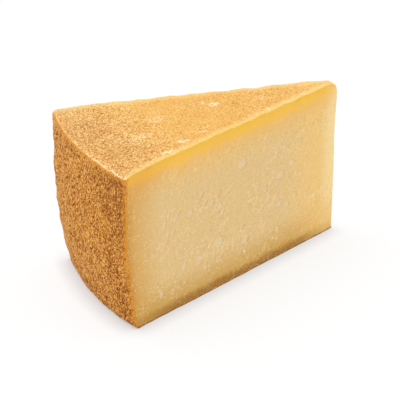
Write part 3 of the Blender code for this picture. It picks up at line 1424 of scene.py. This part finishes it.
class ShaderGraph:
    """Builds a material's nodes with few words."""

    def __init__(self, name: str) -> None:
        """Starts a material with one surface shader.

        Args:
            name: The material's name.
        """
        self.material = bpy.data.materials.new(name)
        self.material.use_nodes = True
        self.nodes = self.material.node_tree.nodes
        self.links = self.material.node_tree.links
        self.nodes.clear()
        self.shader = self.nodes.new("ShaderNodeBsdfPrincipled")
        output = self.nodes.new("ShaderNodeOutputMaterial")
        self.links.new(self.shader.outputs["BSDF"], output.inputs["Surface"])

    def feed(self, socket: Socket, value: Feed) -> None:
        """Links a socket, or sets it where the value is a number or a colour.

        Args:
            socket: The socket that takes the value.
            value: Another node's output, a number or a colour.
        """
        if isinstance(value, bpy.types.NodeSocket):
            self.links.new(value, socket)
        else:
            socket.default_value = value

    def node(self, kind: str, feeds: Dict[Key, Feed], **settings: str) -> bpy.types.Node:
        """Adds a node.

        Args:
            kind: Its type, without the prefix that all types share.
            feeds: What its sockets take, by their names or numbers.
            settings: Its own settings.

        Returns:
            The node.
        """
        node = self.nodes.new("ShaderNode" + kind)
        for name, value in settings.items():
            setattr(node, name, value)
        for key, value in feeds.items():
            self.feed(node.inputs[key], value)
        return node

    def place(self) -> Socket:
        """The place on the piece, in metres."""
        return self.node("TexCoord", {}).outputs["Object"]

    def mark(self, mark: Mark) -> Socket:
        """What the mesh tells at each point."""
        return self.node("Attribute", {}, attribute_name=mark.value).outputs["Fac"]

    def axis(self, place: Socket, axis: str) -> Socket:
        """One of a place's three parts: X, Y or Z."""
        return self.node("SeparateXYZ", {0: place}).outputs[axis]

    def lean(self, place: Socket, angle: float) -> Socket:
        """A place turned about the line across the wedge."""
        feeds = {"Vector": place, "Angle": angle}
        return self.node("VectorRotate", feeds, rotation_type="Y_AXIS").outputs[0]

    def math(self, operation: str, first: Feed, second: Feed) -> Socket:
        """One step of arithmetic on numbers."""
        return self.node("Math", {0: first, 1: second}, operation=operation).outputs[0]

    def times(self, first: Feed, second: Feed) -> Socket:
        """The product of two numbers or shares."""
        return self.math("MULTIPLY", first, second)

    def plus(self, first: Feed, second: Feed, share: float = 1.0) -> Socket:
        """The sum of a number and a share of another."""
        return self.math("ADD", first, second if share == 1.0 else self.times(second, share))

    def blend(self, share: Feed, first: Feed, second: Feed) -> Socket:
        """A blend of two numbers."""
        return self.node("Mix", {"Factor": share, 2: first, 3: second}).outputs[0]

    def mix(self, share: Feed, first: Feed, second: Feed) -> Socket:
        """A blend of two colours."""
        feeds = {"Factor": share, 6: first, 7: second}
        return self.node("Mix", feeds, data_type="RGBA").outputs[2]

    def span(self, value: Socket, span: Span) -> Socket:
        """Maps a number softly over a span, held at both ends."""
        feeds = dict(enumerate((value, *span)))
        return self.node("MapRange", feeds, interpolation_type="SMOOTHSTEP").outputs[0]

    def noise(self, place: Socket, clouds: Clouds) -> Socket:
        """Random clouds, between about 0.25 and 0.75.

        Args:
            place: Where they are read.
            clouds: Their pattern.

        Returns:
            Their height.
        """
        if clouds.stretch != EVEN:
            feeds = {0: place, 1: clouds.stretch}
            place = self.node("VectorMath", feeds, operation="MULTIPLY").outputs[0]
        feeds = {"Vector": place, "Scale": 1.0 / clouds.size}
        feeds.update({"Detail": clouds.detail, "Roughness": clouds.rough})
        return self.node("TexNoise", feeds).outputs["Fac"]

    def centred(self, place: Socket, clouds: Clouds) -> Socket:
        """Random clouds, moved to lie around 0."""
        return self.math("SUBTRACT", self.noise(place, clouds), 0.5)

    def tint(self, colour: Feed, value: Socket, tint: Tint, *shares: Feed) -> Socket:
        """Brings a tint in over its span of a value.

        Args:
            colour: The colour so far.
            value: The value.
            tint: The tint.
            shares: What else weakens it.

        Returns:
            The colour.
        """
        share = self.span(value, tint.span)
        for more in shares:
            share = self.times(share, more)
        return self.mix(share, colour, tint.colour)

    def openness(self, reach: float) -> Socket:
        """1 in the open, less where something stands within reach."""
        return self.node("AmbientOcclusion", {"Distance": reach}).outputs["AO"]

    def ramp(self, value: Socket, stops: Stops) -> Socket:
        """Colours along a number.

        Args:
            value: The number.
            stops: The colours and their places along it.

        Returns:
            The colour.
        """
        node = self.node("ValToRGB", {0: value})
        elements = node.color_ramp.elements
        while len(elements) < len(stops):
            elements.new(1.0)
        for element, (place, colour) in zip(elements, stops):
            element.position = place
            element.color = colour
        return node.outputs[0]


@dataclass(frozen=True)
class CheeseFinish:
    """What both finishes of the cheese have: gloss, softness and fine pores."""

    roughness: float = 0.60
    specular: float = 0.20
    scatter: float = 0.20
    scatter_reach: Triple = (0.0020, 0.0010, 0.0005)
    pores: Clouds = Clouds(0.0010, 3.0, 0.6)
    pore_depth: float = 0.0001
    pore_strength: float = 0.6

    def surface(self, graph: ShaderGraph, place: Socket, colour: Socket) -> bpy.types.Material:
        """Sets up the shader. What is the same all over is set on its own sockets.

        Args:
            graph: The material's nodes.
            place: The place on the piece.
            colour: The surface's colour.

        Returns:
            The material.
        """
        feeds = {"Height": graph.noise(place, self.pores), "Distance": self.pore_depth}
        pores = graph.node("Bump", {**feeds, "Strength": self.pore_strength})
        sockets = graph.shader.inputs
        graph.feed(sockets["Base Color"], colour)
        graph.feed(sockets["Normal"], pores.outputs["Normal"])
        sockets["Roughness"].default_value = self.roughness
        sockets["Specular IOR Level"].default_value = self.specular
        sockets["Subsurface Weight"].default_value = self.scatter
        sockets["Subsurface Radius"].default_value = self.scatter_reach
        sockets["Subsurface Scale"].default_value = 1.0
        return graph.material


@dataclass(frozen=True)
class RindFinish(CheeseFinish):
    """The rind's colours, as they show, its patterns, and where each begins and ends."""

    roughness: float = 0.75
    specular: float = 0.15
    scatter: float = 0.10
    scatter_reach: Triple = (0.0015, 0.0008, 0.0004)
    pores: Clouds = Clouds(0.0006, 2.0, 0.6)
    pore_strength: float = 0.7
    # Both ramps run from dark pits over brown and golden grain to pale knobs; the heel's ramp is
    # darker, partly its browner rind and partly painted shade on the side turned from the light
    heel_tone_and_shade_ramp: Stops = (
        (0.06, srgb(126, 66, 14)),
        (0.36, srgb(184, 108, 26)),
        (0.62, srgb(205, 132, 42)),
        (0.98, srgb(236, 178, 94)),
    )
    top_ramp: Stops = (
        (0.04, srgb(166, 100, 36)),
        (0.32, srgb(214, 153, 67)),
        (0.58, srgb(226, 178, 100)),
        (0.95, srgb(240, 205, 136)),
    )
    # The grain: how much the knobs, the fine grains and the slow swells count
    fine: Clouds = Clouds(0.0010, 4.0, 0.72, (1.0, 1.0, 0.7))
    speckle: Clouds = Clouds(0.0006, 1.0, 0.5, (1.0, 1.0, 0.8))
    speckle_share: float = 0.65
    knob_middle: float = 0.55
    knob_share: float = 0.8
    fine_share: float = 3.1
    swell_share: float = 0.5
    grain_middle: float = 0.5
    # The top, by the distance along the wedge and from the nearer cut
    top_swells: Clouds = Clouds(0.0075, 4.0, 0.65)
    top_swell_height: float = 1.2
    rough_to_heel: Span = Span(-0.022, -0.074, 0.42, 1.35)
    rough_to_tip: Span = Span(0.005, 0.045, 0.42, 0.62)
    blush: Tint = Tint(srgb(200, 134, 74), Span(-0.030, -0.080, 0.0, 0.30))
    pale_to_tip: Tint = Tint(srgb(248, 212, 138), Span(0.030, 0.078, 0.0, 0.14))
    pale_by_cut: Tint = Tint(srgb(250, 220, 150), Span(0.0060, 0.0004, 0.0, 0.42))
    top_flecks: Clouds = Clouds(0.0008, 2.0, 0.6, (0.8, 1.0, 1.0))
    top_fleck: Tint = Tint(srgb(255, 230, 168), Span(0.56, 0.68))
    flecks_to_heel: Span = Span(-0.020, -0.074, 0.30, 0.95)
    gathering: Clouds = Clouds(0.011)
    gathered: Span = Span(0.40, 0.60, 0.35, 1.3)
    # The heel, by the height and the distance across, with painted light that makes it lighter
    # towards the back
    heel_starts: Span = Span(0.0, 0.5)
    heel_swells: Clouds = Clouds(0.0055, 3.0, 0.6, (1.0, 1.0, 0.45))
    heel_swell_height: float = 1.5
    heel_rough: float = 1.06
    painted_light_to_back: Span = Span(-0.042, -0.010, -0.05, 0.08)
    darker_to_foot: Span = Span(0.017, 0.006, 0.0, 0.14)
    heel_flecks: Clouds = Clouds(0.0010, 2.0, 0.65, (1.0, 1.0, 0.55))
    heel_fleck: Tint = Tint(srgb(255, 210, 124), Span(0.58, 0.68, 0.0, 0.80))
    heel_speck: Tint = Tint(srgb(108, 50, 8), Span(0.42, 0.31, 0.0, 0.80))
    below_rim: Colour = srgb(222, 152, 60)
    below_rim_depths: Flat = (0.0060, 0.0015)
    below_rim_share: float = 0.80
    beside_cut: Tint = Tint(srgb(222, 150, 52), Span(0.0034, 0.0006, 0.0, 0.8))
    beside_cut_grain: Span = Span(-0.16, 0.02)
    # Stains, scraped patches and a painted highlight along the rim, with ragged edges
    ragged: Clouds = Clouds(0.0045, 3.0, 0.6)
    ragged_fine_share: float = 0.7
    stain: Tint = Tint(srgb(140, 76, 26), Span(0.16, -0.10))
    scraped: Tint = Tint(srgb(254, 234, 186), Span(-0.12, 0.10))
    rim: Tint = Tint(srgb(255, 238, 186), Span(-0.12, 0.10))
    rim_highlight_to_front: Span = Span(0.006, -0.036, 0.50, 1.0)
    # The rind's own cut face, with a painted shadow line along its very bottom
    top_section: Colour = srgb(252, 202, 78)
    heel_section: Colour = srgb(226, 154, 52)
    section_spot: Tint = Tint(srgb(176, 104, 30), Span(0.03, -0.14, 0.0, 0.9))
    foot_section: Tint = Tint(srgb(162, 112, 46), Span(0.004, 0.001))
    crumbs: Clouds = Clouds(0.0013, 1.0, 0.5, (0.8, 0.8, 1.0))
    crumb: Tint = Tint(srgb(240, 198, 124), Span(0.53, 0.64))
    crumbs_to_foot: Span = Span(0.006, 0.002, 0.12, 0.60)
    foot_shadow_line: Tint = Tint(srgb(112, 74, 32), Span(0.0008, 0.0002))

    def material(self, form: WedgeForm) -> bpy.types.Material:
        """Builds the rind's material.

        Args:
            form: The wedge's clean form.

        Returns:
            The material.
        """
        graph = ShaderGraph("grainy_golden_rind")
        place = graph.place()
        upright = graph.mark(Mark.UPRIGHT)
        from_cut = graph.mark(Mark.FROM_CUT)
        speckle = graph.centred(place, self.speckle)
        fine = graph.plus(graph.centred(place, self.fine), speckle, self.speckle_share)
        top = self._top(graph, place, fine, from_cut)
        heel = self._heel(graph, place, fine, from_cut, form)
        colour = graph.mix(graph.span(upright, self.heel_starts), top, heel)
        ragged = graph.plus(graph.centred(place, self.ragged), fine, self.ragged_fine_share)
        colour = graph.tint(colour, ragged, self.stain, graph.mark(Mark.STAIN))
        colour = graph.tint(colour, fine, self.scraped, graph.mark(Mark.SCRAPE))
        # A painted highlight along the rounded rim, stronger towards the front
        highlight_to_front = graph.span(graph.axis(place, "Y"), self.rim_highlight_to_front)
        colour = graph.tint(colour, fine, self.rim, graph.mark(Mark.RIM), highlight_to_front)
        section = self._section(graph, place, fine, upright)
        colour = graph.mix(graph.mark(Mark.SECTION), colour, section)
        return self.surface(graph, place, colour)

    def _grain(self, graph: ShaderGraph, fine: Socket, swells: Socket, rough: Feed) -> Socket:
        """The grain's lightness round its middle, from the knobs, fine grains and slow swells.

        Args:
            graph: The material's nodes.
            fine: The fine grains.
            swells: The slow swells.
            rough: How strongly all of it shows.

        Returns:
            The place on a ramp of colours.
        """
        knobs = graph.math("SUBTRACT", graph.mark(Mark.GRAIN), self.knob_middle)
        grain = graph.plus(graph.times(knobs, self.knob_share), fine, self.fine_share)
        grain = graph.plus(grain, swells, self.swell_share)
        return graph.plus(graph.times(grain, rough), self.grain_middle)

    def _top(self, graph: ShaderGraph, place: Socket, fine: Socket, from_cut: Socket) -> Socket:
        """The top's colour: golden, rougher towards the heel, paler at the tip and the cuts.

        Args:
            graph: The material's nodes.
            place: The place on the piece.
            fine: The fine grains.
            from_cut: The distance from the nearer cut.

        Returns:
            The colour.
        """
        x = graph.axis(place, "X")
        swells = graph.times(graph.centred(place, self.top_swells), self.top_swell_height)
        rough = graph.span(x, self.rough_to_heel)
        rough = graph.math("MAXIMUM", rough, graph.span(x, self.rough_to_tip))
        colour = graph.ramp(self._grain(graph, fine, swells, rough), self.top_ramp)
        colour = graph.tint(colour, x, self.blush)
        colour = graph.tint(colour, x, self.pale_to_tip)
        colour = graph.tint(colour, from_cut, self.pale_by_cut)
        flecks = graph.noise(place, self.top_flecks)
        to_heel = graph.span(x, self.flecks_to_heel)
        gathered = graph.span(graph.noise(place, self.gathering), self.gathered)
        return graph.tint(colour, flecks, self.top_fleck, to_heel, gathered)

    def _heel(
        self, graph: ShaderGraph, place: Socket, fine: Socket, from_cut: Socket, form: WedgeForm
    ) -> Socket:
        """The heel's colour: brown and coarse, partly painted shade, with painted light towards the
        back, darker at the foot.

        Args:
            graph: The material's nodes.
            place: The place on the piece.
            fine: The fine grains.
            from_cut: The distance from the nearer cut.
            form: The wedge's clean form.

        Returns:
            The colour.
        """
        y, z = graph.axis(place, "Y"), graph.axis(place, "Z")
        swells = graph.times(graph.centred(place, self.heel_swells), self.heel_swell_height)
        grain = self._grain(graph, fine, swells, self.heel_rough)
        # Painted light: the heel lighter towards the back and a little darker at the front
        grain = graph.plus(grain, graph.span(y, self.painted_light_to_back))
        grain = graph.math("SUBTRACT", grain, graph.span(z, self.darker_to_foot))
        # The heel's ramp: its browner rind together with painted shade
        colour = graph.ramp(grain, self.heel_tone_and_shade_ramp)
        flecks = graph.noise(place, self.heel_flecks)
        colour = graph.tint(colour, flecks, self.heel_fleck)
        colour = graph.tint(colour, flecks, self.heel_speck)
        low, high = (form.height - depth for depth in self.below_rim_depths)
        below_rim = Tint(self.below_rim, Span(low, high, 0.0, self.below_rim_share))
        colour = graph.tint(colour, z, below_rim)
        grained = graph.span(fine, self.beside_cut_grain)
        return graph.tint(colour, from_cut, self.beside_cut, grained)

    def _section(
        self, graph: ShaderGraph, place: Socket, fine: Socket, upright: Socket
    ) -> Socket:
        """The colour of the rind's own cut face: orange, with dark spots, pale crumbs and a painted
        shadow line along the very bottom.

        Args:
            graph: The material's nodes.
            place: The place on the piece.
            fine: The fine grains.
            upright: 0 on the level top, 1 on the heel.

        Returns:
            The colour.
        """
        z = graph.axis(place, "Z")
        spotted = graph.tint(self.heel_section, fine, self.section_spot)
        colour = graph.mix(upright, self.top_section, spotted)
        colour = graph.tint(colour, z, self.foot_section)
        to_foot = graph.span(z, self.crumbs_to_foot)
        crumbs = graph.noise(place, self.crumbs)
        colour = graph.tint(colour, crumbs, self.crumb, upright, to_foot)
        # A painted shadow line along the very bottom edge
        return graph.tint(colour, z, self.foot_shadow_line)


@dataclass(frozen=True)
class PasteFinish(CheeseFinish):
    """The paste's colours, as they show, its patterns, and where each begins and ends."""

    roughness: float = 0.50
    specular: float = 0.25
    scatter: float = 0.25
    scatter_reach: Triple = (0.0030, 0.0018, 0.0008)
    pores: Clouds = Clouds(0.0012, 3.0, 0.6)
    middle: Colour = srgb(226, 192, 131)
    # Along the wedge, and from the heel
    clouds: Clouds = Clouds(0.016, 3.0, 0.55)
    near_tip: Tint = Tint(srgb(238, 197, 118), Span(0.035, 0.076))
    tip: Tint = Tint(srgb(245, 216, 152), Span(0.070, 0.083))
    near_heel: Tint = Tint(srgb(216, 164, 78), Span(0.030, 0.0))
    by_heel: Tint = Tint(srgb(206, 146, 60), Span(0.009, 0.0))
    # The golden band below the rind
    band_drift: float = 0.009
    band_to_heel: Span = Span(0.040, 0.010)
    band_to_tip: Span = Span(0.084, 0.071, 0.40, 1.0)
    wide_band: Tint = Tint(srgb(238, 187, 98), Span(0.028, 0.002))
    wide_band_heel: Colour = srgb(226, 168, 78)
    band: Tint = Tint(srgb(248, 190, 62), Span(0.011, 0.002))
    band_heel: Colour = srgb(243, 178, 54)
    # The darker foot, partly the paste's own colour near the underside rind and partly painted
    # shade along the bottom of the cut; less so at both ends, and golden at the tip
    crumbly: Clouds = Clouds(0.0017, 3.0, 0.65)
    foot_drift: float = 0.003
    foot_crumble: float = 0.006
    foot_to_tip: Span = Span(0.081, 0.046, 0.20, 1.0)
    foot_to_heel: Span = Span(-0.064, -0.038, 0.50, 1.0)
    wide_foot_tone_and_shade: Tint = Tint(srgb(205, 158, 70), Span(0.028, 0.002))
    foot: Tint = Tint(srgb(164, 113, 28), Span(0.0080, 0.0032))
    tip_foot: Tint = Tint(srgb(238, 187, 98), Span(0.034, 0.004, 0.0, 0.6))
    tip_foot_along: Span = Span(0.045, 0.080)
    # The eyes, with painted shade round their rims
    eye: Colour = srgb(230, 204, 160)
    eye_share: float = 0.72
    eye_rim_shade: Tint = Tint(srgb(194, 148, 76), Span(0.0, 0.3, 0.0, 0.30))
    eye_rim_shade_inner: Span = Span(0.9, 0.5)
    # The texture: leaning curd streaks, fine grain and gathered crystals
    texture_below_top: Span = Span(0.003, 0.018, 0.20, 1.0)
    texture_from_heel: Span = Span(0.012, 0.045, 0.7, 1.0)
    texture_from_foot: Span = Span(0.003, 0.016, 0.45, 1.0)
    streak_lean: float = -math.radians(20.0)
    streaks: Clouds = Clouds(0.0021, 3.0, 0.6, (1.0, 1.0, 0.55))
    grain: Clouds = Clouds(0.0010, 2.0, 0.6)
    gathering: Clouds = Clouds(0.015)
    gathered: Span = Span(0.44, 0.60)
    streaks_apart: float = 0.25
    light: Tint = Tint(srgb(241, 213, 163), Span(0.0, 0.26, 0.0, 0.60))
    shade: Tint = Tint(srgb(194, 148, 76), Span(0.0, -0.26, 0.0, 0.30))
    crystals: Clouds = Clouds(0.0013, 1.0, 0.5, (1.0, 1.0, 0.6))
    crystal: Tint = Tint(srgb(241, 213, 163), Span(0.60, 0.72))
    crystal_share: float = 0.8

    def material(self, form: WedgeForm) -> bpy.types.Material:
        """Builds the paste's material.

        Args:
            form: The wedge's clean form.

        Returns:
            The material.
        """
        graph = ShaderGraph("pale_golden_paste")
        place = graph.place()
        x, z = graph.axis(place, "X"), graph.axis(place, "Z")
        clouds = graph.centred(place, self.clouds)
        from_heel = graph.mark(Mark.FROM_HEEL)
        below_top = graph.math("SUBTRACT", form.height, z)
        colour = graph.tint(self.middle, x, self.near_tip)
        colour = graph.tint(colour, x, self.tip)
        colour = graph.tint(colour, from_heel, self.near_heel)
        colour = graph.tint(colour, from_heel, self.by_heel)
        textured = graph.span(below_top, self.texture_below_top)
        textured = graph.times(textured, graph.span(from_heel, self.texture_from_heel))
        textured = graph.times(textured, graph.span(z, self.texture_from_foot))
        colour = self._band(graph, x, graph.plus(below_top, clouds, self.band_drift), colour)
        colour = self._foot(graph, place, graph.plus(z, clouds, self.foot_drift), colour)
        eye = graph.mark(Mark.EYE)
        colour = graph.mix(graph.times(eye, self.eye_share), colour, self.eye)
        # Painted shade in a ring round each eye's rim
        colour = graph.tint(colour, eye, self.eye_rim_shade, graph.span(eye, self.eye_rim_shade_inner))
        return self.surface(graph, place, self._texture(graph, place, textured, colour))

    def _band(
        self, graph: ShaderGraph, x: Socket, below_top: Socket, colour: Socket
    ) -> Socket:
        """The golden band below the rind, more orange by the heel and weaker at the tip.

        Args:
            graph: The material's nodes.
            x: The distance along the wedge.
            below_top: The depth below the top.
            colour: The colour so far.

        Returns:
            The colour.
        """
        at_heel = graph.span(graph.mark(Mark.FROM_HEEL), self.band_to_heel)
        before_tip = graph.span(x, self.band_to_tip)
        for band, by_heel in (
            (self.wide_band, self.wide_band_heel),
            (self.band, self.band_heel),
        ):
            mixed = Tint(graph.mix(at_heel, band.colour, by_heel), band.span)
            colour = graph.tint(colour, below_top, mixed, before_tip)
        return colour

    def _foot(
        self, graph: ShaderGraph, place: Socket, above_foot: Socket, colour: Socket
    ) -> Socket:
        """The darker foot with a crumbly edge: partly the paste's own colour near the underside
        rind, partly painted shade along the bottom of the cut.

        Args:
            graph: The material's nodes.
            place: The place on the piece.
            above_foot: The height above the underside.
            colour: The colour so far.

        Returns:
            The colour.
        """
        x = graph.axis(place, "X")
        above_foot = graph.plus(above_foot, graph.centred(place, self.crumbly), self.foot_crumble)
        to_tip = graph.span(x, self.foot_to_tip)
        at_tip = graph.span(x, self.tip_foot_along)
        colour = graph.tint(colour, above_foot, self.wide_foot_tone_and_shade, to_tip)
        colour = graph.tint(colour, above_foot, self.tip_foot, at_tip)
        ends = graph.times(to_tip, graph.span(x, self.foot_to_heel))
        # The foot's darkening: partly the paste's own colour, partly painted shade
        return graph.tint(colour, above_foot, self.foot, ends)

    def _texture(
        self, graph: ShaderGraph, place: Socket, textured: Socket, colour: Socket
    ) -> Socket:
        """The paste's own texture: leaning curd streaks, fine grain and gathered pale crystals.

        Args:
            graph: The material's nodes.
            place: The place on the piece.
            textured: How strongly it shows.
            colour: The colour so far.

        Returns:
            The colour.
        """
        leaning = graph.lean(place, self.streak_lean)
        gathered = graph.span(graph.noise(leaning, self.gathering), self.gathered)
        apart = graph.blend(gathered, self.streaks_apart, 1.0)
        streaks = graph.times(graph.centred(leaning, self.streaks), apart)
        mottle = graph.plus(streaks, graph.centred(place, self.grain))
        colour = graph.tint(colour, mottle, self.light, textured)
        colour = graph.tint(colour, mottle, self.shade, textured)
        crystals = graph.noise(leaning, self.crystals)
        showing = graph.times(textured, self.crystal_share)
        return graph.tint(colour, crystals, self.crystal, gathered, showing)


@dataclass(frozen=True)
class SoftBox:
    """One soft rectangular light."""

    name: str
    place: Triple
    width: float
    height: float
    power: float

    def build(self, aim: Vector) -> bpy.types.Object:
        """Hangs the light.

        Args:
            aim: The point that it faces.

        Returns:
            The light.
        """
        data = bpy.data.lights.new(self.name, "AREA")
        data.shape = "RECTANGLE"
        data.size = self.width
        data.size_y = self.height
        data.energy = self.power
        light = bpy.data.objects.new(self.name, data)
        light.location = self.place
        light.rotation_euler = (aim - Vector(self.place)).to_track_quat("-Z", "Y").to_euler()
        bpy.context.scene.collection.objects.link(light)
        return light


@dataclass
class Studio:
    """The pale floor, the soft light and the camera."""

    floor_size: float = 12.0
    floor_colour: Colour = (0.23, 0.23, 0.233, 1.0)
    floor_glow: float = 0.742
    floor_roughness: float = 0.9
    floor_specular: float = 0.1
    contact_reach: float = 0.012
    contact_shade: Colour = (0.52, 0.475, 0.46, 1.0)
    sky: float = 0.80
    boxes: Tuple[SoftBox, ...] = (
        SoftBox("overhead_softbox", (-0.35, 0.25, 1.25), 1.3, 1.3, 9.0),
        SoftBox("front_fill", (1.1, -1.1, 0.7), 1.0, 0.8, 3.0),
    )
    aim: Triple = (0.0, 0.0, 0.04)
    azimuth: float = math.radians(-28.60)
    elevation: float = math.radians(29.89)
    distance: float = 1.19
    target: Triple = (0.0174, 0.0453, 0.0150)
    lens: float = 172.7
    sensor: float = 36.0

    def build(self) -> None:
        """Sets up everything round the cheese."""
        self._floor()
        self._sky()
        for box in self.boxes:
            box.build(Vector(self.aim))
        self._camera()
        scene = bpy.context.scene
        scene.view_settings.view_transform = "Standard"
        scene.view_settings.look = "None"

    def _floor(self) -> None:
        """Lays the floor at the level of the underside."""
        bm = bmesh.new()
        bmesh.ops.create_grid(bm, x_segments=1, y_segments=1, size=self.floor_size / 2)
        mesh = bpy.data.meshes.new("pale_floor")
        bm.to_mesh(mesh)
        bm.free()
        floor = bpy.data.objects.new("pale_floor", mesh)
        bpy.context.scene.collection.objects.link(floor)
        graph = ShaderGraph("pale_floor")
        sockets = graph.shader.inputs
        sockets["Base Color"].default_value = self.floor_colour
        sockets["Roughness"].default_value = self.floor_roughness
        sockets["Specular IOR Level"].default_value = self.floor_specular
        sockets["Emission Strength"].default_value = self.floor_glow
        glow = graph.mix(graph.openness(self.contact_reach), self.contact_shade, WHITE)
        graph.feed(sockets["Emission Color"], glow)
        mesh.materials.append(graph.material)
        floor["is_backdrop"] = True

    def _sky(self) -> None:
        """Surrounds the scene with even white light."""
        world = bpy.data.worlds.new("white_surround")
        world.use_nodes = True
        background = world.node_tree.nodes["Background"]
        background.inputs["Color"].default_value = WHITE
        background.inputs["Strength"].default_value = self.sky
        bpy.context.scene.world = world

    def _camera(self) -> None:
        """Places the camera at the photograph's viewing angle."""
        data = bpy.data.cameras.new("camera")
        data.lens = self.lens
        data.sensor_width = self.sensor
        camera = bpy.data.objects.new("camera", data)
        level = math.cos(self.elevation)
        x, y = math.sin(self.azimuth) * level, -math.cos(self.azimuth) * level
        back = Vector((x, y, math.sin(self.elevation)))
        camera.location = Vector(self.target) + back * self.distance
        camera.rotation_euler = back.to_track_quat("Z", "Y").to_euler()
        bpy.context.scene.collection.objects.link(camera)
        bpy.context.scene.camera = camera


def dress(piece: bpy.types.Object, material: bpy.types.Material) -> None:
    """Gives a piece its finish and its place in the frame.

    Args:
        piece: The piece.
        material: Its finish.
    """
    piece.data.materials.append(material)
    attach(piece, BODY)
    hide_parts(NODE)
    LOG.info("%s rides on %s in place of %s", piece.name, BODY, NODE)


def main() -> None:
    """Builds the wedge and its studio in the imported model's frame."""
    logging.basicConfig(level=logging.INFO, format="%(name)s: %(message)s")
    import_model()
    cad_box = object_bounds()
    form = WedgeForm()
    offset = Vector((-form.length_middle, 0.0, 0.0))
    skin = Skin(form, Relief(form), RindGrain())
    inner = InnerFaces(skin, skin.seam(Cut.FRONT), skin.seam(Cut.BACK))
    dress(Rind(skin, inner).build(offset), RindFinish().material(form))
    dress(Paste(skin, inner).build(offset), PasteFinish().material(form))
    Studio().build()
    boxes = {"cad": cad_box, "visual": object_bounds()}
    {name: [list(corner) for corner in box] for name, box in boxes.items()}


if __name__ == "__main__":
    main()
